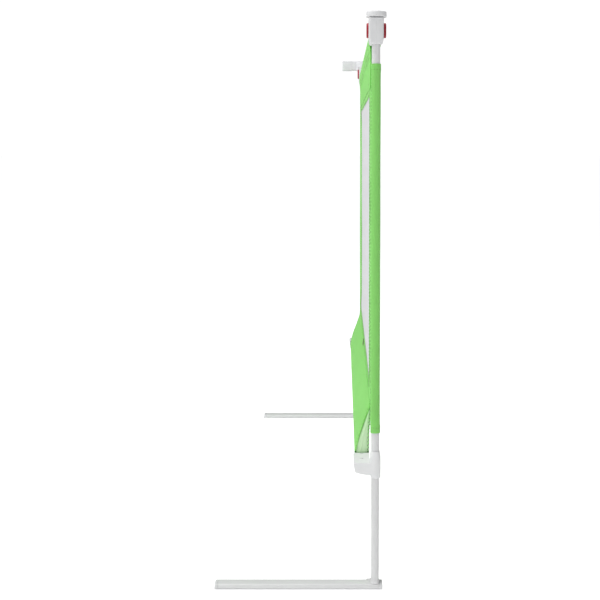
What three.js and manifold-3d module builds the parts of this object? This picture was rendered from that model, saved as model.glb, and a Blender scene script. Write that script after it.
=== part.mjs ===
// Bed guard rail: two floor-less L frames (flat leg under the mattress, upright post) carry a
// fabric and mesh panel that slides down the posts when the squeeze buttons are pressed.
// Millimetres. +X along the rail, +Y towards the bed, +Z up.
// Origin: centre of the footprint, at the underside.
// Pieces are drawn with the post plane at Y = 0; the group is then moved by Y_SHIFT.
// Paired pieces are drawn at the left (negative X) end and mirrored to the right.
import * as THREE from "three";
import { mergeVertices } from "three/addons/utils/BufferGeometryUtils.js";
import Module from "manifold-3d";

const wasm = await Module();
wasm.setup();

// ---------------------------------------------------------------- shared dimensions
const POST_X = 686.3; // post centre from the middle of the rail
const LEFT_X = -POST_X;
const Y_SHIFT = -111.6; // centres the footprint on Y = 0
const GAP = 0.35; // clearance between neighbouring pieces
const HALVES_GAP = 0.2; // each rail half stops this far from X = 0
const COUPLER_HALF = 60; // half length of the rail couplers
const LOCK_Z = 824; // height of the lock slider axis
const COVER_FACE = 6.65; // Y of the bed-side face of the cover
const CLOTH = 0.9; // cloth thickness
const CLOTH_Y = [COVER_FACE - CLOTH, COVER_FACE];

// ---------------------------------------------------------------- materials
const finish = (settings) => new THREE.MeshStandardMaterial(settings);
const steel = finish({ color: 0xe4e6e8, roughness: 0.35, metalness: 0.1 });
const plastic = finish({ color: 0xeceef0, roughness: 0.45, metalness: 0 });
const red = finish({ color: 0xb23a44, roughness: 0.4, metalness: 0 });
const grip = finish({ color: 0xcfd2d4, roughness: 0.8, metalness: 0 });
const zinc = finish({ color: 0xb9bdc2, roughness: 0.3, metalness: 0.9 });
const green = finish({ color: 0x86cc6e, roughness: 0.85, metalness: 0 });
const net = finish({ color: 0xf0f0f2, roughness: 0.8, metalness: 0 });
const label = finish({ color: 0x9b3338, roughness: 0.8, metalness: 0 });

// ---------------------------------------------------------------- ranges: [low, high]
const around = (centre, half) => [centre - half, centre + half];
const widen = ([low, high], by) => [low - by, high + by];
const span = (a, b) => (a < b ? [a, b] : [b, a]);

// ---------------------------------------------------------------- solids
const toSolid = (geometry) => {
  const bare = geometry.clone();
  bare.deleteAttribute("normal");
  bare.deleteAttribute("uv");
  const merged = mergeVertices(bare, 1e-4);
  const mesh = new wasm.Mesh({
    numProp: 3,
    vertProperties: Float32Array.from(merged.attributes.position.array),
    triVerts: Uint32Array.from(merged.index.array),
  });
  return new wasm.Manifold(mesh);
};

const extrude = (outline, [low, high], holes) => {
  const toVectors = (points) => points.map(([a, b]) => new THREE.Vector2(a, b));
  const shape = new THREE.Shape(toVectors(outline));
  shape.holes = holes.map((hole) => new THREE.Path(toVectors(hole)));
  const options = { depth: high - low, bevelEnabled: false, steps: 1 };
  return new THREE.ExtrudeGeometry(shape, options).translate(0, 0, low);
};

// (y, z) outline pushed along X
const TURN_TO_X = new THREE.Matrix4().set(0, 0, 1, 0, 1, 0, 0, 0, 0, 1, 0, 0, 0, 0, 0, 1);
const alongX = (outline, range, holes = []) =>
  toSolid(extrude(outline, range, holes).applyMatrix4(TURN_TO_X));

// (x, z) outline pushed along Y
const TURN_TO_Y = new THREE.Matrix4().set(0, 1, 0, 0, 0, 0, 1, 0, 1, 0, 0, 0, 0, 0, 0, 1);
const alongY = (outline, range) => {
  const swapped = outline.map(([x, z]) => [z, x]);
  return toSolid(extrude(swapped, range, []).applyMatrix4(TURN_TO_Y));
};

// (x, y) outline pushed along Z
const alongZ = (outline, range, holes = []) => toSolid(extrude(outline, range, holes));

const box = ([x0, x1], [y0, y1], [z0, z1]) => {
  const geometry = new THREE.BoxGeometry(x1 - x0, y1 - y0, z1 - z0);
  return toSolid(geometry.translate((x0 + x1) / 2, (y0 + y1) / 2, (z0 + z1) / 2));
};

// cylinders; the centre is (x, y) for rodZ and so on
const rod = (radius, [low, high], segments) =>
  new THREE.CylinderGeometry(radius, radius, high - low, segments)
    .translate(0, (low + high) / 2, 0);
const rodX = (radius, range, [y, z], segments = 16) =>
  toSolid(rod(radius, range, segments).rotateZ(-Math.PI / 2).translate(0, y, z));
const rodY = (radius, range, [x, z], segments = 16) =>
  toSolid(rod(radius, range, segments).translate(x, 0, z));
const rodZ = (radius, range, [x, y], segments = 16) =>
  toSolid(rod(radius, range, segments).rotateX(Math.PI / 2).translate(x, y, 0));

const mirrorY = (solid) => solid.mirror([0, 1, 0]);

// ---------------------------------------------------------------- outlines
// point on a circle
const polar = (a, b, radius, angle) => [
  a + radius * Math.cos(angle),
  b + radius * Math.sin(angle),
];

// flat oval, long side along the first axis
const oval = (long, thin, centreA, centreB, segments) => {
  const radius = thin / 2;
  const reach = long / 2 - radius;
  const points = [];
  for (const side of [1, -1]) {
    for (let i = 0; i <= segments; i++) {
      const angle = (-side * Math.PI) / 2 + (Math.PI * i) / segments;
      points.push(polar(centreA + side * reach, centreB, radius, angle));
    }
  }
  return points;
};

// rectangle with rounded corners
const rounded = ([a0, a1], [b0, b1], radius, segments = 3) => {
  const corners = [
    [a1 - radius, b0 + radius],
    [a1 - radius, b1 - radius],
    [a0 + radius, b1 - radius],
    [a0 + radius, b0 + radius],
  ];
  return corners.flatMap(([a, b], quarter) =>
    Array.from({ length: segments + 1 }, (_, i) =>
      polar(a, b, radius, (Math.PI / 2) * (quarter - 1 + i / segments))));
};

// ---------------------------------------------------------------- group and meshes
const model = new THREE.Group();
model.name = "bed_guard_rail";
model.position.y = Y_SHIFT;

const toGeometry = (solid) => {
  const mesh = solid.getMesh();
  const geometry = new THREE.BufferGeometry();
  const positions = Float32Array.from(mesh.vertProperties);
  geometry.setAttribute("position", new THREE.BufferAttribute(positions, 3));
  geometry.setIndex(new THREE.BufferAttribute(Uint32Array.from(mesh.triVerts), 1));
  return geometry;
};

// mirror image across X = 0, with the triangles turned to face outwards again
const mirrored = (geometry) => {
  const copy = geometry.clone().scale(-1, 1, 1);
  const index = copy.index.array;
  for (let i = 0; i < index.length; i += 3) {
    [index[i + 1], index[i + 2]] = [index[i + 2], index[i + 1]];
  }
  return copy;
};

const addMesh = (name, geometry, material) => {
  const mesh = new THREE.Mesh(geometry, material);
  mesh.name = name;
  model.add(mesh);
};
const add = (name, solid, material) => addMesh(name, toGeometry(solid), material);
const addPair = (name, solid, material) => {
  const geometry = toGeometry(solid);
  addMesh(`left_${name}`, geometry, material);
  addMesh(`right_${name}`, mirrored(geometry), material);
};

// ---------------------------------------------------------------- leg: arched flat tube and ends
const LEG_HALF = 27.4 / 2; // along X
const LEG_CROWN = 9.4; // top of the arch
const LEG_SHOULDER = 8.0; // edge of the arch
const LEG_BASE = 2.1;
const LEG_CHAMFER = 0.6;
const LEG_WALL = 1.2;
const ARCH_POWER = 2.6;
const ARCH_STEPS = 8;
const LEG_Y = [-6.2, 235.6];
const LEG_REACH = 240.2; // outer face of the bed-side cap
const HEEL_Y = -10.7; // outer face of the room-side cap
const NOTCH_DEPTH = 1.7; // notches in the side walls at the heel
const NOTCH_END = -1.2; // Y
const NOTCH_TOP = LEG_SHOULDER - LEG_WALL;
const INSERT_HALF = 11; // tongue of an end cap, inside the tube
const INSERT_Z = [LEG_BASE + LEG_WALL + GAP, LEG_SHOULDER - LEG_WALL - GAP + 0.4];
// (y, z) side view that gives the bed-side cap its nose
const TOE_PROFILE = [
  [LEG_Y[1] - 2, 0],
  [LEG_REACH, 0],
  [LEG_REACH, LEG_SHOULDER - 0.6],
  [LEG_REACH - 1.6, LEG_CROWN - 0.2],
  [LEG_REACH - 2.4, LEG_CROWN + 1],
  [LEG_Y[1] - 2, LEG_CROWN + 1],
];
const PAD_HALF = 24.6 / 2;
const PAD_THICKNESS = 1.7;
const PAD_SETBACK = 0.7; // from the end faces of the caps

// (x, z) section of the leg, grown by the given amount
const legOutline = (grow) => {
  const half = LEG_HALF + grow;
  const base = LEG_BASE - grow;
  const points = [
    [LEFT_X - half + LEG_CHAMFER, base],
    [LEFT_X + half - LEG_CHAMFER, base],
    [LEFT_X + half, base + LEG_CHAMFER],
  ];
  for (let i = 0; i <= ARCH_STEPS; i++) {
    const across = 1 - (2 * i) / ARCH_STEPS;
    const rise = (LEG_CROWN - LEG_SHOULDER) * (1 - Math.pow(Math.abs(across), ARCH_POWER));
    points.push([LEFT_X + half * across, LEG_SHOULDER + grow + rise]);
  }
  points.push([LEFT_X - half, base + LEG_CHAMFER]);
  return points;
};

// X range near one side wall, between two distances from the leg centre
const legSide = (side, from, to) => span(LEFT_X + side * from, LEFT_X + side * to);
const legInsert = (yRange) => box(around(LEFT_X, INSERT_HALF), yRange, INSERT_Z);

const legBar = () => {
  let bar = alongY(legOutline(0), LEG_Y).subtract(alongY(legOutline(-LEG_WALL), widen(LEG_Y, 1)));
  for (const side of [-1, 1]) {
    const notchX = legSide(side, LEG_HALF - NOTCH_DEPTH, 15);
    bar = bar.subtract(box(notchX, [LEG_Y[0] - 1, NOTCH_END], [0, NOTCH_TOP]));
  }
  return bar.subtract(rodZ(2.4, [0, 20], [LEFT_X, 0]));
};

// closes the room-side end of the leg; its side tabs fill the notches
const heelCap = () => {
  let cap = alongY(legOutline(0), [HEEL_Y, LEG_Y[0] - GAP]);
  for (const side of [-1, 1]) {
    const tabX = legSide(side, LEG_HALF - NOTCH_DEPTH + GAP, LEG_HALF - 0.02);
    cap = cap.add(box(tabX, [HEEL_Y + 0.5, NOTCH_END - GAP], [LEG_BASE + 0.95, NOTCH_TOP - GAP]));
  }
  return cap.add(legInsert([HEEL_Y + 1, -3]));
};

const toeCap = () =>
  alongY(legOutline(0), [LEG_Y[1] + GAP, LEG_REACH])
    .intersect(alongX(TOE_PROFILE, around(LEFT_X, 20)))
    .add(legInsert([LEG_Y[1] - 9, LEG_Y[1] + 2]));

const gripPad = () => {
  const padY = widen([HEEL_Y, LEG_REACH], -PAD_SETBACK);
  return alongZ(rounded(around(LEFT_X, PAD_HALF), padY, 3), [0, PAD_THICKNESS])
    .subtract(rodZ(4.6, [-1, 3], [LEFT_X, 0], 20));
};

addPair("leg_bar", legBar(), steel);
addPair("heel_cap", heelCap(), plastic);
addPair("toe_cap", toeCap(), plastic);
addPair("grip_pad", gripPad(), grip);

// ---------------------------------------------------------------- post and its foot
const POST_LONG = 25.0; // flat oval, along X
const POST_THIN = 11.3; // across Y
const POST_WALL = 1.2;
const POST_Z = [9.7, 842.6];
const LOCK_HOLE_Z = around(LOCK_Z, 4.6);
const COLLAR_HALF_X = 13.1;
const COLLAR_HALF_Y = 6.3;
const COLLAR_Z = [6.8, 13.4];
// (x, y) plan of the low collar toe, which runs out diagonally over the leg
const COLLAR_TOE = [
  [LEFT_X - COLLAR_HALF_X, 6.2],
  [LEFT_X - COLLAR_HALF_X, -COLLAR_HALF_Y],
  [LEFT_X + COLLAR_HALF_X, -COLLAR_HALF_Y],
  [LEFT_X + COLLAR_HALF_X, 13.2],
  [LEFT_X + 10, 13.2],
];

const postOutline = (grow, segments = 8) =>
  oval(POST_LONG + 2 * grow, POST_THIN + 2 * grow, LEFT_X, 0, segments);
// fits inside the post
const plugOutline = postOutline(-POST_WALL - GAP, 6);
// room for the post, cut from every piece that surrounds it
const postHole = alongZ(postOutline(GAP), [0, 900]);

// tube with the lock hole in its wall facing the middle of the rail
const post = () =>
  alongZ(postOutline(0), POST_Z, [postOutline(-POST_WALL)])
    .subtract(box([LEFT_X + 5, LEFT_X + 20], around(0, 3.3), LOCK_HOLE_Z));

const footCollar = () => {
  const ring = rounded(around(LEFT_X, COLLAR_HALF_X), around(0, COLLAR_HALF_Y), 6, 5);
  return alongZ(ring, COLLAR_Z)
    .add(alongZ(COLLAR_TOE, [COLLAR_Z[0], LEG_CROWN + 1.3]))
    .subtract(postHole)
    .subtract(alongY(legOutline(GAP), [-40, 60]));
};

const footPlug = () =>
  alongZ(plugOutline, [10.4, 38]).subtract(rodZ(2.35, [0, 34], [LEFT_X, 0]));

// comes up through the leg into the plug; slotted head underneath
const footScrew = () =>
  rodZ(3.9, [0.35, 1.75], [LEFT_X, 0])
    .add(rodZ(2.0, [0.6, 30], [LEFT_X, 0]))
    .subtract(box(around(LEFT_X, 2.6), around(0, 0.5), [0, 0.9]));

addPair("post", post(), steel);
addPair("foot_collar", footCollar(), steel);
addPair("foot_plug", footPlug(), plastic);
addPair("foot_screw", footScrew(), zinc);

// ---------------------------------------------------------------- post cap with crowned flange
const CAP_LONG = 43.3; // flange along X
const CAP_WIDE = 29.6; // flange across Y
const CAP_Z = [843.0, 851.0];
const CAP_CROWN = 852.4;

const capOutline = (grow, centreX, segments) =>
  oval(CAP_LONG + grow, CAP_WIDE + grow, centreX, 0, segments);

const postCap = () =>
  alongZ(capOutline(0, LEFT_X, 10), CAP_Z)
    .add(alongZ(capOutline(-5, LEFT_X, 10), [CAP_Z[1] - 0.5, CAP_CROWN - 0.5]))
    .add(alongZ(capOutline(-13, LEFT_X, 8), [CAP_Z[1] - 0.5, CAP_CROWN]))
    .add(alongZ(plugOutline, [832, CAP_Z[0] + 1]));

addPair("post_cap", postCap(), plastic);

// ---------------------------------------------------------------- rail sections
const RAIL_HALF_Y = 16.4 / 2; // top rail
const RAIL_HALF_Z = 18.0 / 2;
const RAIL_Z = 816.2;
const RAIL_CORNER = 5;
const RAIL_WALL = 1.2; // both rails
const RAIL_END = 643.6; // end of the top rail inside the housing
const LOW_Y = 19.6; // lower rail centre
const LOW_Z = 185.2;
const LOW_WIDE = 18.4;
const LOW_THIN = 11.3;
const LOW_END = 688.0;

const railOutline = (inset, radius = RAIL_CORNER - inset) =>
  rounded(around(0, RAIL_HALF_Y - inset), around(RAIL_Z, RAIL_HALF_Z - inset), radius, 4);
const railClearance = railOutline(-GAP, RAIL_CORNER);
const lowOutline = (inset) =>
  oval(LOW_WIDE - 2 * inset, LOW_THIN - 2 * inset, LOW_Y, LOW_Z, 6);

// ---------------------------------------------------------------- top housing: two shells
const HOUSE_INNER = 620; // end where the top rail enters
const HOUSE_X = [-704, -HOUSE_INNER];
const HOUSE_HALF = 10.9;
const HOUSE_Z = [805, 842.6];
const HOUSE_TAPER = 813;
const HOUSE_WALL = 1.8;
const SHELL_GAP = 0.15; // each shell stops this far from Y = 0
const SHELL_X = [-720, -600];
const SHELL_Z = [780, 880];
// (y, z) bed-side half of the end view, top to bottom
const HOUSE_PROFILE = [
  [HOUSE_HALF - 1.4, HOUSE_Z[1]],
  [HOUSE_HALF, HOUSE_Z[1] - 1.4],
  [HOUSE_HALF, HOUSE_TAPER],
  [HOUSE_HALF - 0.7, HOUSE_TAPER - 4],
  [HOUSE_HALF - 2.6, HOUSE_Z[0]],
];
const HOUSE_SCREW = [-634, 834.2]; // x, z
const BUTTON_X = [-668, -646];
const BUTTON_Z = [816.2, 837.4];

const buttonOutline = (inset, radius) =>
  rounded(widen(BUTTON_X, -inset), widen(BUTTON_Z, -inset), radius, 4);

const housing = () => {
  const roomSide = HOUSE_PROFILE.map(([y, z]) => [-y, z]).reverse();
  const plan = rounded(HOUSE_X, around(0, HOUSE_HALF), 4.2, 4);
  const cavityY = around(0, HOUSE_HALF - HOUSE_WALL);
  return alongX([...HOUSE_PROFILE, ...roomSide], HOUSE_X)
    .intersect(alongZ(plan, widen(HOUSE_Z, 1)))
    .subtract(postHole)
    .subtract(box([-671.4, -645.9], cavityY, [810.4, HOUSE_Z[1] - HOUSE_WALL]))
    .subtract(box([-675, -670], around(0, 3.4), LOCK_HOLE_Z))
    .subtract(alongX(railClearance, [-RAIL_END - 0.9, -HOUSE_INNER + 1]))
    .subtract(alongY(buttonOutline(-GAP, 8), around(0, 30)));
};

const bedShell = (house) =>
  house
    .intersect(box(SHELL_X, [SHELL_GAP, 40], SHELL_Z))
    .subtract(rodY(1.75, [0, 7.6], HOUSE_SCREW, 12));

const roomShell = (house) =>
  house
    .intersect(box(SHELL_X, [-40, -SHELL_GAP], SHELL_Z))
    .subtract(rodY(1.75, [-20, 1], HOUSE_SCREW, 12))
    .subtract(rodY(3.0, [-20, -8.4], HOUSE_SCREW));

// cross-slotted head on the room side
const housingScrew = () => {
  const [x, z] = HOUSE_SCREW;
  const slotY = [-10.5, -9.5];
  const slotLong = 1.9;
  const slotThin = 0.35;
  return rodY(1.4, [-9.4, 7], HOUSE_SCREW, 12)
    .add(rodY(2.6, [-10.1, -8.8], HOUSE_SCREW))
    .subtract(box(around(x, slotLong), slotY, around(z, slotThin)))
    .subtract(box(around(x, slotThin), slotY, around(z, slotLong)));
};

const house = housing();
addPair("housing_screw", housingScrew(), zinc);
addPair("housing_bed_shell", bedShell(house), plastic);
addPair("housing_room_shell", roomShell(house), plastic);

// ---------------------------------------------------------------- squeeze buttons
// stepped slabs: inset, y range, corner radius
const BUTTON_SLABS = [
  [0, [8.3, 13.3], 7.6],
  [1.0, [13.0, 14.2], 7],
  [2.6, [14.0, 14.7], 6],
];
const FLANGE_X = [-664, -650]; // strips above and below, behind the housing wall
const FLANGE_Y = [7.2, 8.7];
// (x, y) pocket for the slider lug; its sloped end drives the slider along the rail
const LUG_POCKET = [[-665.1, 5.0], [-665.1, 6.6], [-660.2, 11.5], [-653.4, 11.5], [-653.4, 5.0]];

const bedButton = () => {
  const slabs = BUTTON_SLABS.map(([inset, yRange, radius]) =>
    alongY(buttonOutline(inset, radius), yRange));
  return slabs
    .reduce((body, slab) => body.add(slab))
    .add(box(FLANGE_X, FLANGE_Y, [812.4, 818]))
    .add(box(FLANGE_X, FLANGE_Y, [831, 839.8]))
    .add(box([-667.3, -664.6], [6.6, 9.5], around(LOCK_Z, 3.5)))
    .subtract(alongZ(LUG_POCKET, around(LOCK_Z, 5.8)));
};

const button = bedButton();
addPair("button_bed", button, red);
addPair("button_room", mirrorY(button), red);

// ---------------------------------------------------------------- lock slider and return spring
// (x, y) plan of the bed-side lug
const LUG_PLAN = [[-668, 2.5], [-667.6, 3.2], [-663.1, 7.9], [-659, 7.9], [-659, 2.5]];
const SPRING = { radius: 2.9, startX: -651.3, endX: -646.9, turns: 3.6, steps: 56 };
const WIRE_RADIUS = 0.4;

const lockSlider = () => {
  const lug = alongZ(LUG_PLAN, around(LOCK_Z, 3.4));
  return box([-673.3, -655.2], around(0, 2.9), around(LOCK_Z, 4))
    .add(lug)
    .add(mirrorY(lug))
    .add(rodX(1.8, [-656, -649.6], [0, LOCK_Z], 12));
};

class Helix extends THREE.Curve {
  getPoint(t, target = new THREE.Vector3()) {
    const { radius, startX, endX, turns } = SPRING;
    const [y, z] = polar(0, LOCK_Z, radius, 2 * Math.PI * turns * t);
    return target.set(startX + (endX - startX) * t, y, z);
  }
}

const returnSpring = () => {
  const corners = Array.from({ length: 6 }, (_, i) =>
    new THREE.Vector2(...polar(0, 0, WIRE_RADIUS, (i * Math.PI) / 3)));
  const options = { steps: SPRING.steps, extrudePath: new Helix(), bevelEnabled: false };
  return toSolid(new THREE.ExtrudeGeometry(new THREE.Shape(corners), options));
};

addPair("lock_slider", lockSlider(), plastic);
addPair("return_spring", returnSpring(), zinc);

// ---------------------------------------------------------------- rails: two halves and a coupler
for (const [name, outline, end] of [
  ["top_rail", railOutline, RAIL_END],
  ["lower_rail", lowOutline, LOW_END],
]) {
  addPair(name, alongX(outline(0), [-end, -HALVES_GAP], [outline(RAIL_WALL)]), steel);
  add(`${name}_coupler`, alongX(outline(RAIL_WALL + GAP), around(0, COUPLER_HALF)), steel);
}

// ---------------------------------------------------------------- lower joint
const JOINT_SLEEVE_X = [-702.6, -669.4];
const JOINT_SLEEVE_Y = around(0, 7.55);
const ARM_X = [-701.6, -629.5];
const ARM_Y = 32.6; // bed-side face of the arm
const ARM_TOP = 193.5;
const ARM_CUT_Z = [160, 200];
// (y, z) end view of the arm
const ARM_PROFILE = [
  [0, ARM_TOP], [ARM_Y - 1.4, ARM_TOP], [ARM_Y - 0.3, ARM_TOP - 0.5], [ARM_Y, ARM_TOP - 1.8],
  [ARM_Y - 1.4, 182.5], [ARM_Y - 2.6, 179.6], [ARM_Y - 5.4, 177.8], [14, 175.2], [0, 175.0],
];
// (x, y) plan that cuts the bed-side corners of the arm
const ARM_PLAN = [
  [ARM_X[0], -2], [ARM_X[1], -2], [ARM_X[1], ARM_Y - 1.4],
  [ARM_X[1] - 1.4, ARM_Y + 1], [ARM_X[0] + 2.6, ARM_Y + 1], [ARM_X[0], ARM_Y - 2],
];
const JOINT_SCREWS_X = [-669.5, -634.5];

// sleeve round the post, with an arm that holds the lower rail
const lowerJoint = () => {
  const sleeve = alongZ(rounded(JOINT_SLEEVE_X, JOINT_SLEEVE_Y, 6.4, 5), [171, 208.4]);
  const lipOutline = rounded(widen(JOINT_SLEEVE_X, -0.8), widen(JOINT_SLEEVE_Y, -0.7), 5.8, 5);
  let joint = alongX(ARM_PROFILE, ARM_X)
    .intersect(alongZ(ARM_PLAN, ARM_CUT_Z))
    // between the sleeve and the inner end, the arm keeps clear of the post plane
    .subtract(box([-668.6, -620], [-3, 8.2], ARM_CUT_Z))
    .add(sleeve)
    .add(alongZ(lipOutline, [169.6, 212.6]))
    .subtract(postHole)
    .subtract(alongX(lowOutline(-GAP), [-LOW_END - GAP, -600]));
  for (const x of JOINT_SCREWS_X) {
    joint = joint.subtract(rodZ(2.5, [LOW_Z + 3, 200], [x, LOW_Y], 14));
  }
  return joint;
};

const jointScrew = (x) =>
  rodZ(2.15, [191.35, 193.0], [x, LOW_Y], 14)
    .subtract(box(around(x, 0.35), around(LOW_Y, 1.5), [192.3, 194]));

addPair("lower_joint", lowerJoint(), plastic);
JOINT_SCREWS_X.forEach((x, i) => addPair(`joint_screw_${i + 1}`, jointScrew(x), zinc));

// ---------------------------------------------------------------- fabric cover
const SLEEVE_Z = [235, 777];
const BORDER_X = -682; // outer edge of the border panels, inside the sleeve cloth
const BAND_TOP = 826.6;
const BAND_HALF = RAIL_HALF_Y + GAP + CLOTH; // band round the top rail, across Y
const BAND_X = around(0, HOUSE_INNER - 0.4);
const SEAM_X = around(0, 666);
const SEAM_Z = 735;
const MESH_X = 570;
const MESH_Z = [290, SEAM_Z - 0.4];
const POCKET_X = 626;
// (y, z) strip that slopes from the band in to the plane of the cover
const SKIRT = [
  [BAND_HALF, 815], [BAND_HALF, 809], [COVER_FACE, 780], [COVER_FACE, SLEEVE_Z[1] - 10],
  [COVER_FACE - CLOTH, SLEEVE_Z[1] - 10], [COVER_FACE - CLOTH, 780],
  [BAND_HALF - 1.6, 806.4], [BAND_HALF - 1.6, 815],
];
// (y, z) cloth loop that slopes out from the border to the lower rail and back
const POCKET_OUTER = [
  [COVER_FACE, MESH_Z[0] - 0.4], [COVER_FACE, 265], [12, 250.5], [18.3, 231.5],
  [24.3, 212.5], [28.0, 199.5], [29.8, 190.5], [30.0, 185], [29.2, 179.4], [26.6, 177.2],
  [13.4, 177.2], [10.2, 179.5], [9.0, 186], [8.6, 215], [6.6, 245], [5.4, 262],
  [COVER_FACE - CLOTH, MESH_Z[0] - 0.4],
];
const POCKET_INNER = [
  [6.5, 262], [11.3, 250], [17.5, 231.2], [23.5, 212.2], [27.1, 199.3], [28.9, 190.4],
  [29.1, 185], [28.4, 180], [26.2, 178.1], [13.8, 178.1], [11.0, 180.1], [9.9, 186.1],
  [9.5, 215.2], [7.5, 245.2],
];

// tube of cloth round the post, with the border panels beside the mesh and above the pocket end
const coverSleeve = () => {
  const outline = oval(POST_LONG + 2 * (GAP + CLOTH), 2 * COVER_FACE, LEFT_X, 0, 8);
  const meshBorderZ = [MESH_Z[0] + 0.1, MESH_Z[1]];
  return alongZ(outline, SLEEVE_Z)
    .add(box([BORDER_X, -MESH_X - 0.4], CLOTH_Y, meshBorderZ))
    .add(box([BORDER_X, -POCKET_X - 0.6], CLOTH_Y, [262, MESH_Z[0] + 0.2]))
    .subtract(postHole);
};

// wraps the top rail between the housings and comes down to the seam
const topBand = () => {
  const wrap = rounded(around(0, BAND_HALF), [RAIL_Z - RAIL_HALF_Z - 1.4, BAND_TOP], 6, 4);
  return alongX(wrap, BAND_X)
    .add(alongX(SKIRT, BAND_X))
    .add(box(SEAM_X, CLOTH_Y, [SEAM_Z, SLEEVE_Z[1]]))
    .subtract(alongX(railClearance, around(0, 700)));
};

const meshWindow = () =>
  alongY(rounded(around(0, MESH_X), MESH_Z, 22, 5), [COVER_FACE - 0.85, COVER_FACE - 0.1]);

// three.js corrects the direction of a hole only when the outer outline runs anticlockwise
const lowerPocket = () =>
  alongX(POCKET_OUTER.toReversed(), around(0, POCKET_X), [POCKET_INNER]);

// blank tag on the lower border, at mid-length on the bed side
const sewnTag = () =>
  alongY(rounded(around(0, 14), [268, 284], 1.5), [COVER_FACE + 0.35, COVER_FACE + 1.0]);

addPair("cover_sleeve", coverSleeve(), green);
add("cover_top_band", topBand(), green);
add("mesh_window", meshWindow(), net);
add("lower_pocket", lowerPocket(), green);
add("sewn_tag", sewnTag(), label);

// ---------------------------------------------------------------- corner link
const LINK_Z = [836.2, 858.5];
const LINK_CUT_BASE = 830; // cuts start below the link

// hood over the right post cap, with a neck to a hollow block on the bed side, open below
const cornerLink = () => {
  const hood = alongZ(rounded(around(POST_X, 25), around(0, 17), 14, 6), LINK_Z)
    .subtract(alongZ(capOutline(0.9, POST_X, 10), [LINK_CUT_BASE, 853.2]))
    .subtract(box([POST_X - 40, POST_X - 12], around(0, 11.5), [LINK_CUT_BASE, 843.6]));
  const neck = box(around(POST_X, 9), [15.4, 26], [836.9, 858]);
  const hollow = alongZ(rounded(around(POST_X, 10.6), [27.6, 47.2], 2), [LINK_CUT_BASE, 855.8]);
  const block = alongZ(rounded(around(POST_X, 13), [25, 49.8], 3), LINK_Z).subtract(hollow);
  return hood.add(neck).add(block);
};

add("corner_link", cornerLink(), plastic);

export default model;
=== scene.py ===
import math

import bpy
import bmesh
import numpy as np
from mathutils import Matrix, Vector, noise


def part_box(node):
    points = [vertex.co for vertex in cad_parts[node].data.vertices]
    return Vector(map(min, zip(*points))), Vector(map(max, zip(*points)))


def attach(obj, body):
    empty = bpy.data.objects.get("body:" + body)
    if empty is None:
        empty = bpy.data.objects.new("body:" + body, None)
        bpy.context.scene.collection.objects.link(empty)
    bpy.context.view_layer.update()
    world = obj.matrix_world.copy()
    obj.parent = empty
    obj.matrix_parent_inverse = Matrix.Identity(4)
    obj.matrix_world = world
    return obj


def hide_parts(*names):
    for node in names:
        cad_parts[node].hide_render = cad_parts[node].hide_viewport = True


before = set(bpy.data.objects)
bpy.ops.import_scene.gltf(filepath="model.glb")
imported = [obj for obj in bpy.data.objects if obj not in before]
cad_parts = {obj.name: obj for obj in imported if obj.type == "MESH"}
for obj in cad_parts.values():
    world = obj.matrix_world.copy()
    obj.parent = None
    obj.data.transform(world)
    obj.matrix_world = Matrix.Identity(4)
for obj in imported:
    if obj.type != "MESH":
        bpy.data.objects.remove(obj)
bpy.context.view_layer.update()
scene = bpy.context.scene
MM = 0.001

# ------------------------------------------------------------------ places taken from the CAD frame
post_lo, post_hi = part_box("left_post")
rpost_lo, rpost_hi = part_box("right_post")
PX = (post_lo.x + post_hi.x) / 2 / MM          # left post centre, mm
PY = (post_lo.y + post_hi.y) / 2 / MM          # post plane, mm
POST_LONG = (post_hi.x - post_lo.x) / MM
POST_THIN = (post_hi.y - post_lo.y) / MM
POST_Z0, POST_Z1 = post_lo.z / MM, post_hi.z / MM
house_lo, house_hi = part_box("left_housing_bed_shell")
HX0, HX1 = house_lo.x / MM, house_hi.x / MM
HZ0, HZ1 = house_lo.z / MM, house_hi.z / MM
HALF = house_hi.y / MM - PY
cap_lo, cap_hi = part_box("left_post_cap")
leg_lo, leg_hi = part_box("left_leg_bar")
heel_lo, heel_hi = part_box("left_heel_cap")
toe_lo, toe_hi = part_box("left_toe_cap")
pad_lo, pad_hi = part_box("left_grip_pad")
joint_lo, joint_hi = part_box("left_lower_joint")
rail_lo, rail_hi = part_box("left_top_rail")
low_lo, low_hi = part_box("left_lower_rail")
sleeve_lo, sleeve_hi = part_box("left_cover_sleeve")
band_lo, band_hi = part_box("cover_top_band")
mesh_lo, mesh_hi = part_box("mesh_window")
pocket_lo, pocket_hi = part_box("lower_pocket")
tag_lo, tag_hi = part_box("sewn_tag")
link_lo, link_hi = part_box("corner_link")
but_lo, but_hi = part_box("left_button_bed")

# ------------------------------------------------------------------ mesh helpers (input in mm, y measured from the post plane)


def new_object(name, verts, faces, uvs=None):
    me = bpy.data.meshes.new(name)
    me.from_pydata([(v[0] * MM, (v[1] + PY) * MM, v[2] * MM) for v in verts], [], faces)
    me.validate()
    if uvs is not None:
        layer = me.uv_layers.new(name="UVMap")
        for loop in me.loops:
            layer.data[loop.index].uv = uvs[loop.vertex_index]
    o = bpy.data.objects.new(name, me)
    scene.collection.objects.link(o)
    return o


def fix_normals(o):
    bm = bmesh.new()
    bm.from_mesh(o.data)
    bmesh.ops.recalc_face_normals(bm, faces=bm.faces)
    bm.to_mesh(o.data)
    bm.free()


def soften(o, angle=32.0):
    bm = bmesh.new()
    bm.from_mesh(o.data)
    lim = math.radians(angle)
    for f in bm.faces:
        f.smooth = True
    for e in bm.edges:
        e.smooth = not (len(e.link_faces) == 2 and e.calc_face_angle(0.0) > lim)
    bm.to_mesh(o.data)
    bm.free()


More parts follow.
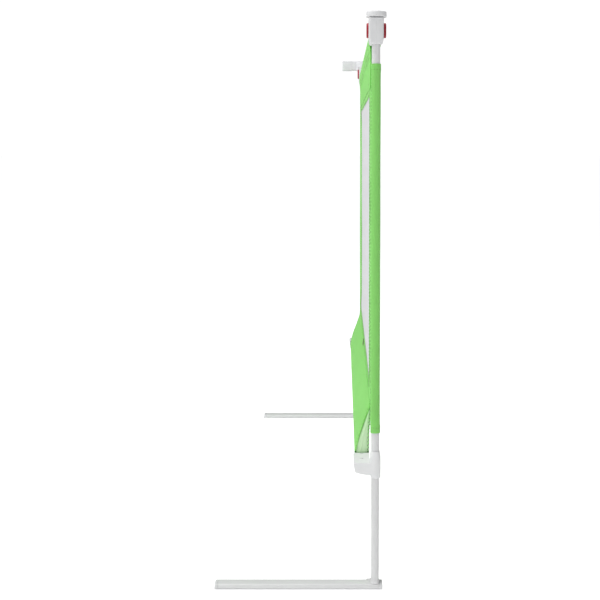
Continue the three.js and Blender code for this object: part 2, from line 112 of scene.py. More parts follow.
def apply_mods(o):
    dg = bpy.context.evaluated_depsgraph_get()
    dg.update()
    me = bpy.data.meshes.new_from_object(o.evaluated_get(dg))
    o.modifiers.clear()
    old = o.data
    o.data = me
    bpy.data.meshes.remove(old)


def boolean(o, other, op="DIFFERENCE", keep=False):
    m = o.modifiers.new("b", "BOOLEAN")
    m.operation = op
    m.solver = "EXACT"
    m.object = other
    apply_mods(o)
    if not keep:
        me = other.data
        bpy.data.objects.remove(other)
        bpy.data.meshes.remove(me)
    return o


def bevel(o, width, segs=2, angle=35):
    m = o.modifiers.new("v", "BEVEL")
    m.width = width * MM
    m.segments = segs
    m.limit_method = "ANGLE"
    m.angle_limit = math.radians(angle)
    m.use_clamp_overlap = True
    m.miter_outer = "MITER_ARC"
    apply_mods(o)
    return o


def oval(long, thin, cx=0.0, cy=0.0, n=14):
    r, out = thin / 2, []
    h = max(long / 2 - r, 0.0)
    for i in range(n + 1):
        t = -math.pi / 2 + math.pi * i / n
        out.append((cx + h + r * math.cos(t), cy + r * math.sin(t)))
    for i in range(n + 1):
        t = math.pi / 2 + math.pi * i / n
        out.append((cx - h + r * math.cos(t), cy + r * math.sin(t)))
    return out


def rrect(a0, b0, a1, b1, r, n=6):
    r = max(min(r, (a1 - a0) / 2 - 1e-3, (b1 - b0) / 2 - 1e-3), 0.01)
    out = []
    for ca, cb, s in ((a1 - r, b0 + r, -0.5), (a1 - r, b1 - r, 0.0), (a0 + r, b1 - r, 0.5), (a0 + r, b0 + r, 1.0)):
        for i in range(n + 1):
            t = math.pi * (s + 0.5 * i / n)
            out.append((ca + r * math.cos(t), cb + r * math.sin(t)))
    return out


def inset(points, d):
    """Mitre offset of a closed outline; positive d moves inwards on a counter-clockwise outline."""
    p = np.array(points, float)
    area = 0.5 * np.sum(p[:, 0] * np.roll(p[:, 1], -1) - np.roll(p[:, 0], -1) * p[:, 1])
    sgn = 1.0 if area > 0 else -1.0
    out = []
    n = len(p)
    for i in range(n):
        a = p[i] - p[i - 1]
        b = p[(i + 1) % n] - p[i]
        la, lb = np.hypot(*a), np.hypot(*b)
        na = np.array((-a[1], a[0])) / max(la, 1e-9)
        nb = np.array((-b[1], b[0])) / max(lb, 1e-9)
        m = na + nb
        m /= max(np.hypot(*m), 1e-9)
        k = 1.0 / max(float(np.dot(m, na)), 0.35)
        out.append(tuple(p[i] + sgn * m * d * k))
    return out


def place(axis, u, v, w):
    if axis == "z":
        return (u, v, w)
    if axis == "x":
        return (w, u, v)
    return (u, w, v)


def loft(name, loops, closed_tube=False):
    """Loops of equal length joined by quads; capped at both ends unless the loops run back into each other."""
    verts, faces = [], []
    n = len(loops[0])
    for lp in loops:
        verts += list(lp)
    m = len(loops)
    for j in range(m if closed_tube else m - 1):
        a, b = j * n, ((j + 1) % m) * n
        for i in range(n):
            k = (i + 1) % n
            faces.append((a + i, a + k, b + k, b + i))
    if not closed_tube:
        faces.append(tuple(range(n))[::-1])
        faces.append(tuple(range((m - 1) * n, m * n)))
    o = new_object(name, verts, faces)
    fix_normals(o)
    return o


def rounded_prism(name, outline, axis, a, b, ra=0.8, rb=None, n=4, outliner=None):
    """Outline pushed along an axis with both end edges rounded."""
    rb = ra if rb is None else rb
    off = outliner or (lambda d: inset(outline, d))
    loops = []
    for i in range(n + 1):
        t = math.pi / 2 * i / n
        loops.append([place(axis, u, v, a + ra * (1 - math.cos(t))) for u, v in off(ra * (1 - math.sin(t)))])
    for i in range(n + 1):
        t = math.pi / 2 * i / n
        loops.append([place(axis, u, v, b - rb + rb * math.sin(t)) for u, v in off(rb * (1 - math.cos(t)))])
    return loft(name, loops)


def tube(name, outer, inner, axis, a, b, r=0.25, steps=1):
    loops = [[place(axis, u, v, a) for u, v in inner], [place(axis, u, v, a) for u, v in inset(outer, r)],
             [place(axis, u, v, a + r) for u, v in outer]]
    for i in range(1, steps):
        loops.append([place(axis, u, v, a + (b - a) * i / steps) for u, v in outer])
    loops += [[place(axis, u, v, b - r) for u, v in outer], [place(axis, u, v, b) for u, v in inset(outer, r)],
              [place(axis, u, v, b) for u, v in inner]]
    return loft(name, loops, closed_tube=True)


def brick(x0, x1, y0, y1, z0, z1):
    return loft("cutter", [[(x0, y0, z), (x1, y0, z), (x1, y1, z), (x0, y1, z)] for z in (z0, z1)])


def bar(axis, r, a, b, u, v, n=28):
    ring = [(u + r * math.cos(2 * math.pi * i / n), v + r * math.sin(2 * math.pi * i / n)) for i in range(n)]
    return loft("cutter", [[place(axis, p, q, w) for p, q in ring] for w in (a, b)])


def mirrored_copy(o, name):
    c = bpy.data.objects.new(name, o.data.copy())
    scene.collection.objects.link(c)
    bm = bmesh.new()
    bm.from_mesh(c.data)
    for v in bm.verts:
        v.co.x = -v.co.x
    bmesh.ops.reverse_faces(bm, faces=bm.faces)
    bm.to_mesh(c.data)
    bm.free()
    return c


def nz(x, y, z):
    return noise.noise(Vector((x, y, z)))


# ------------------------------------------------------------------ materials


def node_material(name):
    m = bpy.data.materials.new(name)
    m.use_nodes = True
    nt = m.node_tree
    for n in list(nt.nodes):
        nt.nodes.remove(n)
    out = nt.nodes.new("ShaderNodeOutputMaterial")
    return m, nt, out


def add(nt, kind, **inputs):
    n = nt.nodes.new(kind)
    for k, v in inputs.items():
        if k.startswith("_"):
            setattr(n, k[1:], v)
        else:
            key = k.replace("__", " ")
            n.inputs[key].default_value = v
    return n


def math_node(nt, op, a, b=None, clamp=False):
    n = nt.nodes.new("ShaderNodeMath")
    n.operation = op
    n.use_clamp = clamp
    for i, v in enumerate((a, b)):
        if v is None:
            continue
        if hasattr(v, "is_output") or hasattr(v, "links"):
            nt.links.new(v, n.inputs[i])
        else:
            n.inputs[i].default_value = v
    return n.outputs[0]


def mix_color(nt, fac, a, b):
    n = nt.nodes.new("ShaderNodeMix")
    n.data_type = "RGBA"
    sock = {"f": n.inputs[0], "a": n.inputs[6], "b": n.inputs[7]}
    for key, v in (("f", fac), ("a", a), ("b", b)):
        if hasattr(v, "is_output") or hasattr(v, "links"):
            nt.links.new(v, sock[key])
        else:
            sock[key].default_value = v
    return n.outputs[2]


def hard_material(name, color, rough=0.35, grain=900.0, bump=0.04, metallic=0.0, coat=0.0, specks=0.03, wear=None, streak=None, spec=0.4):
    """Moulded or painted hard surface: fine grain bump, slow tone drift, wear that shows on edges."""
    m, nt, out = node_material(name)
    b = nt.nodes.new("ShaderNodeBsdfPrincipled")
    tc = nt.nodes.new("ShaderNodeTexCoord")
    mp = add(nt, "ShaderNodeMapping")
    nt.links.new(tc.outputs["Object"], mp.inputs[0])
    if streak:
        mp.inputs["Scale"].default_value = streak
    slow = add(nt, "ShaderNodeTexNoise", Scale=14.0, Detail=3.0)
    fine = add(nt, "ShaderNodeTexNoise", Scale=grain, Detail=2.0)
    nt.links.new(mp.outputs[0], slow.inputs["Vector"])
    nt.links.new(mp.outputs[0], fine.inputs["Vector"])
    dark = tuple(c * (1 - 2.2 * specks) for c in color) + (1,)
    light = tuple(min(c * (1 + 0.8 * specks), 1) for c in color) + (1,)
    col = mix_color(nt, slow.outputs[0], dark, light)
    if wear is not None:
        geo = nt.nodes.new("ShaderNodeNewGeometry")
        ramp = nt.nodes.new("ShaderNodeValToRGB")
        ramp.color_ramp.elements[0].position = 0.54
        ramp.color_ramp.elements[1].position = 0.63
        nt.links.new(geo.outputs["Pointiness"], ramp.inputs[0])
        amount = math_node(nt, "MULTIPLY", ramp.outputs[0], slow.outputs[0])
        col = mix_color(nt, amount, col, tuple(wear) + (1,))
    nt.links.new(col, b.inputs["Base Color"])
    rr = nt.nodes.new("ShaderNodeMapRange")
    rr.inputs["To Min"].default_value = max(rough - 0.07, 0.05)
    rr.inputs["To Max"].default_value = rough + 0.09
    nt.links.new(slow.outputs[0], rr.inputs["Value"])
    nt.links.new(rr.outputs[0], b.inputs["Roughness"])
    b.inputs["Metallic"].default_value = metallic
    b.inputs["Specular IOR Level"].default_value = spec
    b.inputs["Coat Weight"].default_value = coat
    b.inputs["Coat Roughness"].default_value = 0.15
    bp = add(nt, "ShaderNodeBump", Strength=bump, Distance=0.0004)
    nt.links.new(fine.outputs[0], bp.inputs["Height"])
    nt.links.new(bp.outputs[0], b.inputs["Normal"])
    nt.links.new(b.outputs[0], out.inputs[0])
    return m


def cloth_material(name, color, pitch=0.0009, through=0.16, rough=0.82, depth=0.00022, sheen=0.5, contrast=0.16, tint=(0.55, 1.0, 0.42)):
    """Plain-weave polyester, laid out by the cloth's own flat coordinates in metres."""
    m, nt, out = node_material(name)
    uv = nt.nodes.new("ShaderNodeUVMap")
    sep = nt.nodes.new("ShaderNodeSeparateXYZ")
    nt.links.new(uv.outputs[0], sep.inputs[0])
    k = 2 * math.pi / pitch
    wob = add(nt, "ShaderNodeTexNoise", Scale=60.0, Detail=2.0)
    nt.links.new(uv.outputs[0], wob.inputs["Vector"])
    shift = math_node(nt, "MULTIPLY", wob.outputs[0], 2.2)
    su = math_node(nt, "SINE", math_node(nt, "ADD", math_node(nt, "MULTIPLY", sep.outputs[0], k), shift))
    sv = math_node(nt, "SINE", math_node(nt, "ADD", math_node(nt, "MULTIPLY", sep.outputs[1], k), shift))
    over = math_node(nt, "MULTIPLY", su, sv)                       # which thread is on top
    height = math_node(nt, "ADD", math_node(nt, "MULTIPLY", over, 0.5), 0.5)
    slow = add(nt, "ShaderNodeTexNoise", Scale=7.0, Detail=4.0)
    nt.links.new(uv.outputs[0], slow.inputs["Vector"])
    slub = add(nt, "ShaderNodeTexNoise", Scale=240.0, Detail=2.0)
    mp = add(nt, "ShaderNodeMapping")
    mp.inputs["Scale"].default_value = (0.12, 1.0, 1.0)
    nt.links.new(uv.outputs[0], mp.inputs[0])
    nt.links.new(mp.outputs[0], slub.inputs["Vector"])
    dark = tuple(c * (1 - contrast) for c in color) + (1,)
    base = tuple(color) + (1,)
    lite = tuple(min(c * (1 + 0.5 * contrast) + 0.01, 1) for c in color) + (1,)
    c1 = mix_color(nt, height, dark, base)
    c2 = mix_color(nt, math_node(nt, "MULTIPLY", slow.outputs[0], 0.55), c1, lite)
    c3 = mix_color(nt, math_node(nt, "MULTIPLY", slub.outputs[0], 0.22), c2, dark)
    b = nt.nodes.new("ShaderNodeBsdfPrincipled")
    nt.links.new(c3, b.inputs["Base Color"])
    b.inputs["Roughness"].default_value = rough
    b.inputs["Specular IOR Level"].default_value = 0.25
    b.inputs["Sheen Weight"].default_value = sheen
    b.inputs["Sheen Roughness"].default_value = 0.45
    b.inputs["Sheen Tint"].default_value = tint + (1,)
    bp = add(nt, "ShaderNodeBump", Strength=0.55, Distance=depth)
    nt.links.new(height, bp.inputs["Height"])
    bp2 = add(nt, "ShaderNodeBump", Strength=0.25, Distance=0.0006)
    nt.links.new(slow.outputs[0], bp2.inputs["Height"])
    nt.links.new(bp.outputs[0], bp2.inputs["Normal"])
    nt.links.new(bp2.outputs[0], b.inputs["Normal"])
    tr = nt.nodes.new("ShaderNodeBsdfTranslucent")
    nt.links.new(c3, tr.inputs["Color"])
    mx = nt.nodes.new("ShaderNodeMixShader")
    mx.inputs[0].default_value = through
    nt.links.new(b.outputs[0], mx.inputs[1])
    nt.links.new(tr.outputs[0], mx.inputs[2])
    nt.links.new(mx.outputs[0], out.inputs[0])
    return m


def net_material(name, color=(0.86, 0.86, 0.88), pitch=0.0024, cover=0.56):
    """Knitted net: round holes in a staggered grid, closing up as it is seen edge-on."""
    m, nt, out = node_material(name)
    uv = nt.nodes.new("ShaderNodeUVMap")
    sep = nt.nodes.new("ShaderNodeSeparateXYZ")
    nt.links.new(uv.outputs[0], sep.inputs[0])
    k = math.pi / pitch
    cu = math_node(nt, "COSINE", math_node(nt, "MULTIPLY", sep.outputs[0], k))
    cv = math_node(nt, "COSINE", math_node(nt, "MULTIPLY", sep.outputs[1], k * 1.15))
    prod = math_node(nt, "ABSOLUTE", math_node(nt, "MULTIPLY", cu, cv))
    thread = math_node(nt, "LESS_THAN", prod, 0.30)
    lw = nt.nodes.new("ShaderNodeLayerWeight")
    lw.inputs[0].default_value = 0.5
    edge = math_node(nt, "POWER", lw.outputs["Facing"], 2.2)
    full = math_node(nt, "MAXIMUM", thread, edge)
    slow = add(nt, "ShaderNodeTexNoise", Scale=30.0, Detail=3.0)
    nt.links.new(uv.outputs[0], slow.inputs["Vector"])
    col = mix_color(nt, slow.outputs[0], tuple(c * 0.94 for c in color) + (1,), tuple(color) + (1,))
    b = nt.nodes.new("ShaderNodeBsdfPrincipled")
    nt.links.new(col, b.inputs["Base Color"])
    b.inputs["Roughness"].default_value = 0.8
    bp = add(nt, "ShaderNodeBump", Strength=0.5, Distance=0.0003)
    nt.links.new(prod, bp.inputs["Height"])
    nt.links.new(bp.outputs[0], b.inputs["Normal"])
    tr = nt.nodes.new("ShaderNodeBsdfTranslucent")
    nt.links.new(col, tr.inputs["Color"])
    m1 = nt.nodes.new("ShaderNodeMixShader")
    m1.inputs[0].default_value = 0.35
    nt.links.new(b.outputs[0], m1.inputs[1])
    nt.links.new(tr.outputs[0], m1.inputs[2])
    clear = nt.nodes.new("ShaderNodeBsdfTransparent")
    m2 = nt.nodes.new("ShaderNodeMixShader")
    nt.links.new(full, m2.inputs[0])
    nt.links.new(clear.outputs[0], m2.inputs[1])
    nt.links.new(m1.outputs[0], m2.inputs[2])
    nt.links.new(m2.outputs[0], out.inputs[0])
    return m


GREEN = (0.370, 0.895, 0.235)
steel_m = hard_material("white_steel_paint", (0.730, 0.732, 0.735), rough=0.34, grain=650.0, bump=0.10, coat=0.20, specks=0.02, wear=(0.66, 0.665, 0.67))
plastic_m = hard_material("white_plastic", (0.725, 0.73, 0.738), rough=0.45, grain=1500.0, bump=0.16, specks=0.025, wear=(0.82, 0.825, 0.83))
link_m = hard_material("white_plastic_link", (0.74, 0.745, 0.765), rough=0.42, grain=1400.0, bump=0.16, specks=0.03, wear=(0.8, 0.805, 0.82))
# lighter white than the other plastic: painted light for the brightly lit top of the lower joint
joint_painted_light_m = hard_material("white_plastic_painted_light", (0.80, 0.805, 0.81), rough=0.45, grain=1500.0, bump=0.16, specks=0.02, wear=(0.93, 0.932, 0.935))
red_m = hard_material("red_plastic", (0.385, 0.026, 0.040), rough=0.46, grain=1700.0, bump=0.22, specks=0.06, wear=(0.42, 0.05, 0.065), spec=0.25)
# pale grey lifted to offset the shade under the leg bar: painted light
rubber_painted_light_m = hard_material("grip_rubber", (0.82, 0.825, 0.83), rough=0.80, grain=700.0, bump=0.5, specks=0.06)
zinc_m = hard_material("zinc_plate", (0.62, 0.63, 0.65), rough=0.28, grain=500.0, bump=0.05, metallic=1.0, specks=0.05, streak=(1, 1, 6))
cloth_m = cloth_material("green_cloth", GREEN, through=0.30)
# pale green cloth: painted light, brightened to stand in for the light reaching the pocket's inside and its end gussets
lining_painted_light_m = cloth_material("green_cloth_painted_light", (0.700, 0.955, 0.610), through=0.0, contrast=0.08, sheen=0.4)
# greyer, darker green for the hem: painted shade along the folded lower edge of the gussets
hem_painted_shade_m = cloth_material("green_hem_tape_painted_shade", (0.43, 0.66, 0.38), pitch=0.0010, through=0.0, contrast=0.25, sheen=0.1)
# real binding tape, its green darkened as painted shade for the dark seam lines; also laid on the pocket's lower
# open-end edges as painted shade
bind_painted_shade_m = cloth_material("green_binding_painted_shade", (0.285, 0.72, 0.175), pitch=0.0014, through=0.05, depth=0.0004, contrast=0.24)
net_m = net_material("white_net")
tag_m = cloth_material("tag_tape", (0.115, 0.060, 0.055), pitch=0.0006, through=0.02, contrast=0.3, sheen=0.1, tint=(1.0, 1.0, 1.0))
thread_m = cloth_material("thread", (0.19, 0.50, 0.125), pitch=0.0005, through=0.0, contrast=0.3)
overlock_m = cloth_material("overlock_thread", (0.055, 0.16, 0.045), pitch=0.0005, through=0.0, contrast=0.3, sheen=0.1)

# ------------------------------------------------------------------ bookkeeping


def register(o, body, mat, replaces=(), angle=32.0):
    o.data.materials.clear()
    o.data.materials.append(mat)
    soften(o, angle)
    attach(o, body)
    if replaces:
        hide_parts(*replaces)
    return o


def both(base, o, body, mat, node=None, angle=32.0, mirror_body=None):
    """Registers the left piece and its mirror image on the right."""
    r = mirrored_copy(o, f"right_{base}")
    o.name = f"left_{base}"
    register(o, body, mat, [f"left_{node}"] if node else (), angle)
    register(r, mirror_body or body, mat, [f"right_{node}"] if node else (), angle)
    return o, r


# carried-over CAD nodes, mostly out of sight, take the same materials
for n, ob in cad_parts.items():
    mat = plastic_m
    if "screw" in n or "spring" in n:
        mat = zinc_m
    elif "rail" in n or "post" in n or "leg" in n or "collar" in n:
        mat = steel_m
    elif "button" in n:
        mat = red_m
    elif "pad" in n:
        mat = rubber_painted_light_m
    ob.data.materials.clear()
    ob.data.materials.append(mat)

# ------------------------------------------------------------------ base frame
LZ0, LCROWN = leg_lo.z / MM, leg_hi.z / MM
LSH = LCROWN - 1.3
LW = (leg_hi.x - leg_lo.x) / MM


def leg_section(d=0.0, n=26, narrow=0.0):
    """(x, z) outline of the arched bar, counter-clockwise from the lower left."""
    w = LW / 2 - d - narrow
    z0, sh, cr = LZ0 + d, LSH - d, LCROWN - d
    pts = []
    rc = 0.7
    for i in range(4):
        t = math.pi + math.pi / 2 * i / 3
        pts.append((PX - w + rc + rc * math.cos(t), z0 + rc + rc * math.sin(t)))
    for i in range(4):
        t = 1.5 * math.pi + math.pi / 2 * i / 3
        pts.append((PX + w - rc + rc * math.cos(t), z0 + rc + rc * math.sin(t)))
    for i in range(n + 1):
        u = 1 - 2 * i / n
        pts.append((PX + w * u, sh + (cr - sh) * (1 - abs(u) ** 3.0) - (0.9 * max(0.0, (abs(u) - 0.9) / 0.1) ** 2)))
    return pts


Y0L, Y1L = leg_lo.y / MM - PY, leg_hi.y / MM - PY
leg = tube("leg", leg_section(0), leg_section(1.15), "y", Y0L, Y1L, r=0.25)
boolean(leg, bar("z", 2.4, -2, 20, PX, 0))
both("leg_tube", leg, "base", steel_m, "leg_bar")

HY = heel_lo.y / MM - PY
heel_loops = []
for y, d in ((HY, 0.75), (HY + 0.12, 0.35), (HY + 0.4, 0.1), (HY + 0.8, 0.0), (Y0L - 0.3, 0.0)):
    heel_loops.append([(x, y, z) for x, z in leg_section(d)])
heel_loops.append([(x, Y0L - 0.3, z) for x, z in leg_section(1.6)])
heel_loops.append([(x, -2.6, z) for x, z in leg_section(1.7)])
both("heel_cap_shell", loft("heel", heel_loops), "base", plastic_m, "heel_cap")

TY = toe_hi.y / MM - PY
toe_loops = [[(x, Y1L - 8, z) for x, z in leg_section(1.7)], [(x, Y1L + 0.3, z) for x, z in leg_section(1.6)], [(x, Y1L + 0.3, z) for x, z in leg_section(0.0)]]
for i in range(6):
    t = math.pi / 2 * i / 5
    toe_loops.append([(x, TY - 0.6 + 0.6 * math.sin(t), z) for x, z in leg_section(0.6 * (1 - math.cos(t)))])
both("toe_cap_shell", loft("toe", toe_loops), "base", plastic_m, "toe_cap")

# ribbed rubber pad: scalloped sides
w = (pad_hi.x - pad_lo.x) / MM / 2 + 0.5
ya, yb = pad_lo.y / MM - PY - 0.5, pad_hi.y / MM - PY + 2.0
pad_pts = []
n = 84
for i in range(n + 1):
    y = ya + 0.7 + (yb - ya - 1.4) * i / n
    pad_pts.append((PX + w - (0.5 if i % 2 else 0.0), y))
for i in range(1, 6):
    t = math.pi / 2 * i / 6
    pad_pts.append((PX + w - 0.7 + 0.7 * math.cos(t), yb - 0.7 + 0.7 * math.sin(t)))
for i in range(1, 6):
    t = math.pi / 2 * (1 + i / 6)
    pad_pts.append((PX - w + 0.7 + 0.7 * math.cos(t), yb - 0.7 + 0.7 * math.sin(t)))
for i in range(n + 1):
    y = yb - 0.7 - (yb - ya - 1.4) * i / n
    pad_pts.append((PX - w + (0.5 if i % 2 else 0.0), y))
for i in range(1, 6):
    t = math.pi * (1 + 0.5 * i / 6)
    pad_pts.append((PX - w + 0.7 + 0.7 * math.cos(t), ya + 0.7 + 0.7 * math.sin(t)))
for i in range(1, 6):
    t = math.pi * (1.5 + 0.5 * i / 6)
    pad_pts.append((PX + w - 0.7 + 0.7 * math.cos(t), ya + 0.7 + 0.7 * math.sin(t)))
pad_loops = [[(x, y, z) for x, y in inset(pad_pts, d)] for d, z in ((0.3, 0.0), (0.0, 0.35), (0.0, 1.35), (0.3, 1.7))]
pad_o = loft("pad", pad_loops)
boolean(pad_o, bar("z", 4.6, -2, 4, PX, 0))
both("grip_pad_rubber", pad_o, "base", rubber_painted_light_m, "grip_pad", angle=25)

# posts: flat-oval tube with the lock hole through its inner wall
out_ = oval(POST_LONG, POST_THIN + 0.7, PX, 0.35, 16)
in_ = oval(POST_LONG - 2.4, POST_THIN - 1.7, PX, 0.35, 16)
post = tube("post", out_, in_, "z", POST_Z0, POST_Z1, r=0.3)
hole = rounded_prism("hole", rrect(-3.3, 819.4, 3.3, 828.6, 2.0, 5), "x", PX + 5, PX + 20, 0.01)
boolean(post, hole)
both("post_tube", post, "base", steel_m, "post")

# foot collar: a low weld-like bead, and a toe that runs out diagonally over the leg
col_loops = []
for d, z in ((-0.50, LSH - 1.0), (-0.55, LCROWN + 0.3), (-0.55, LCROWN + 1.0), (-0.50, LCROWN + 1.8), (-0.42, LCROWN + 2.8), (-0.33, LCROWN + 3.6), (-0.28, LCROWN + 4.0)):
    wob = 0.10 * math.sin(z * 2.1)
    col_loops.append([(x, y, z) for x, y in oval(POST_LONG - 2 * d + wob, POST_THIN + 0.7 - 2 * d + wob, PX, 0.35, 16)])
collar = loft("collar", col_loops)
toe_plan = [(PX - 13.0, 3.4), (PX - 13.0, 0.0), (PX + 13.0, 0.0), (PX + 13.0, 13.0), (PX + 11.0, 13.1)]
ramp = loft("ramp", [[(x, y, LSH - 1.6) for x, y in toe_plan], [(x, y, LCROWN + 0.25) for x, y in inset(toe_plan, 0.2)], [(x, y, LCROWN + 0.8) for x, y in inset(toe_plan, 1.0)]])
boolean(collar, ramp, "UNION")
boolean(collar, loft("cut", [[(x, y, z) for x, y in oval(POST_LONG + 0.5, POST_THIN + 1.2, PX, 0.35, 16)] for z in (0, 60)]))
boolean(collar, loft("cut", [[(x, y, z) for x, z in leg_section(-0.3)] for y in (-40, 60)]))
both("foot_collar_weld", collar, "base", steel_m, "foot_collar")

# post cap: crowned flange with rounded rim and a shallow ring step
CL, CW = (cap_hi.x - cap_lo.x) / MM, (cap_hi.y - cap_lo.y) / MM
CZ1 = cap_hi.z / MM
CZ0 = POST_Z1 + 0.4
cap_loops = []
for d, z in ((9.4, CZ0 - 11), (9.2, CZ0 + 0.38), (3.0, CZ0 + 0.4), (0.5, CZ0 + 0.75), (0.15, CZ0 + 0.95), (0, CZ0 + 1.25), (0, CZ0 + 2.2), (0.25, CZ0 + 2.5), (0.25, CZ0 + 6.6), (0.4, CZ0 + 7.3), (0.75, CZ0 + 7.8), (1.3, CZ0 + 8.1),
             (2.4, CZ0 + 8.3), (3.2, CZ0 + 8.35), (3.6, CZ0 + 8.2), (4.2, CZ0 + 8.25), (6.5, CZ0 + 8.8), (9.5, CZ0 + 9.2), (13.5, CZ1)):
    if d > 9:
        dd = 10.8 if z < CZ0 - 1 else 10.6
        cap_loops.append([(x, y, z) for x, y in oval(POST_LONG - 3.2, POST_THIN - 3.2, PX, 0, 18)])
    else:
        cap_loops.append([(x, y, z) for x, y in oval(CL - 2 * d, CW - 2 * d, PX, 0, 18)])
cap_loops[-2:] = [[(x, y, z) for x, y in oval(CL - 2 * d, CW - 2 * d, PX, 0, 18)] for d, z in ((9.5, CZ0 + 9.2), (13.5, CZ1))]
both("post_cap_flange", loft("cap", cap_loops), "base", plastic_m, "post_cap")

# ------------------------------------------------------------------ top housings


def house_section(dy, dz, up=0.0):
    """(y, z) outline: flat flanks, soft shoulders, lower edge pulled in."""
    h = HALF - dy
    z0, z1 = HZ0 + dz + up, HZ1 - dz
    pts = []
    tp = HZ0 + 8.0
    pts += [(-h + 2.6, z0), (h - 2.6, z0), (h - 1.5, z0 + 1.2), (h - 0.6, tp - 3.0), (h - 0.12, tp - 0.6), (h, tp + 1.0)]
    for i in range(6):
        t = math.pi / 2 * i / 5
        pts.append((h - 2.2 + 2.2 * math.cos(t), z1 - 2.2 + 2.2 * math.sin(t)))
    for i in range(6):
        t = math.pi / 2 + math.pi / 2 * i / 5
        pts.append((-h + 2.2 + 2.2 * math.cos(t), z1 - 2.2 + 2.2 * math.sin(t)))
    pts += [(-h, tp + 1.0), (-h + 0.12, tp - 0.6), (-h + 0.6, tp - 3.0), (-h + 1.5, z0 + 1.2)]
    return [(y + 0.45 if y < -h * 0.5 else y, z) for y, z in pts]


def house_block(grow=0.0):
    loops = []
    R = 2.4
    for i in range(9):
        t = math.pi / 2 * i / 8
        loops.append([(HX0 + R * (1 - math.cos(t)), y, z) for y, z in house_section(R * (1 - math.sin(t)) + grow, 1.2 * (1 - math.sin(t)) + grow)])
    # a shallow collar at the inner end where the rail comes in
    for x, d in ((-690.0, 0.0), (-668.0, 0.0), (HX1 - 9.0, 0.0), (HX1 - 8.4, 0.45), (HX1 - 6.6, 0.45), (HX1 - 6.0, 0.0), (HX1 - 1.6, 0.0), (HX1 - 0.5, 0.45), (HX1, 1.3)):
        draft = 0.8 * max(0.0, (x + 668.0) / (HX1 + 668.0))
        loops.append([(x, y, z) for y, z in house_section(d + grow + draft, d + grow, 2.3 * max(0.0, min(1.0, (x + 690.0) / (HX1 + 690.0))) if d < 1.0 else 1.6)])
    return loft("house", loops)


house = house_block()
boolean(house, loft("cut", [[(x, y, z) for x, y in oval(POST_LONG + 0.6, POST_THIN + 1.3, PX, 0.35, 16)] for z in (780, 900)]))
boolean(house, brick(-671.4, -645.9, -HALF + 1.8, HALF - 1.8, HZ0 + 5.4, HZ1 - 1.8))
boolean(house, brick(-676, -670, -3.4, 3.4, 819.4, 828.6))
rail_cut = rrect(rail_lo.y / MM - PY - 0.35, rail_lo.z / MM - 0.35, rail_hi.y / MM - PY + 0.35, rail_hi.z / MM + 0.35, 5, 6)
boolean(house, loft("cut", [[(x, y, z) for y, z in rail_cut] for x in (-644.5, HX1 + 2)]))
# dished seat round each button, then the button opening itself
BX0, BX1 = but_lo.x / MM, but_hi.x / MM
BZ0, BZ1 = HZ0 + 11.2, HZ0 + 32.4
for s in (1, -1):
    seat = [[(x, s * y, z) for x, z in rrect(BX0 - g, BZ0 - g, BX1 + g, BZ1 + g, 8 + g, 8)] for g, y in ((0.3, HALF - 3), (0.3, HALF - 0.9), (2.3, HALF + 0.05), (2.4, HALF + 2))]
    boolean(house, loft("cut", seat))
shells = []
for s in (1, -1):
    half = bpy.data.objects.new("half", house.data.copy())
    scene.collection.objects.link(half)
    boolean(half, brick(-730, -600, *((-60, 0.05) if s > 0 else (-0.05, 60)), 780, 880))
    if s < 0:
        boolean(half, bar("y", 3.1, -20, -8.4, -634, 834.2))
        boolean(half, bar("y", 1.75, -20, 1, -634, 834.2))
    else:
        boolean(half, bar("y", 1.75, 0, 7.6, -634, 834.2))
    shells.append(half)
bpy.data.objects.remove(house)
both("housing_bed_half", shells[0], "panel", plastic_m, "housing_bed_shell", angle=28)
both("housing_room_half", shells[1], "panel", plastic_m, "housing_room_shell", angle=28)

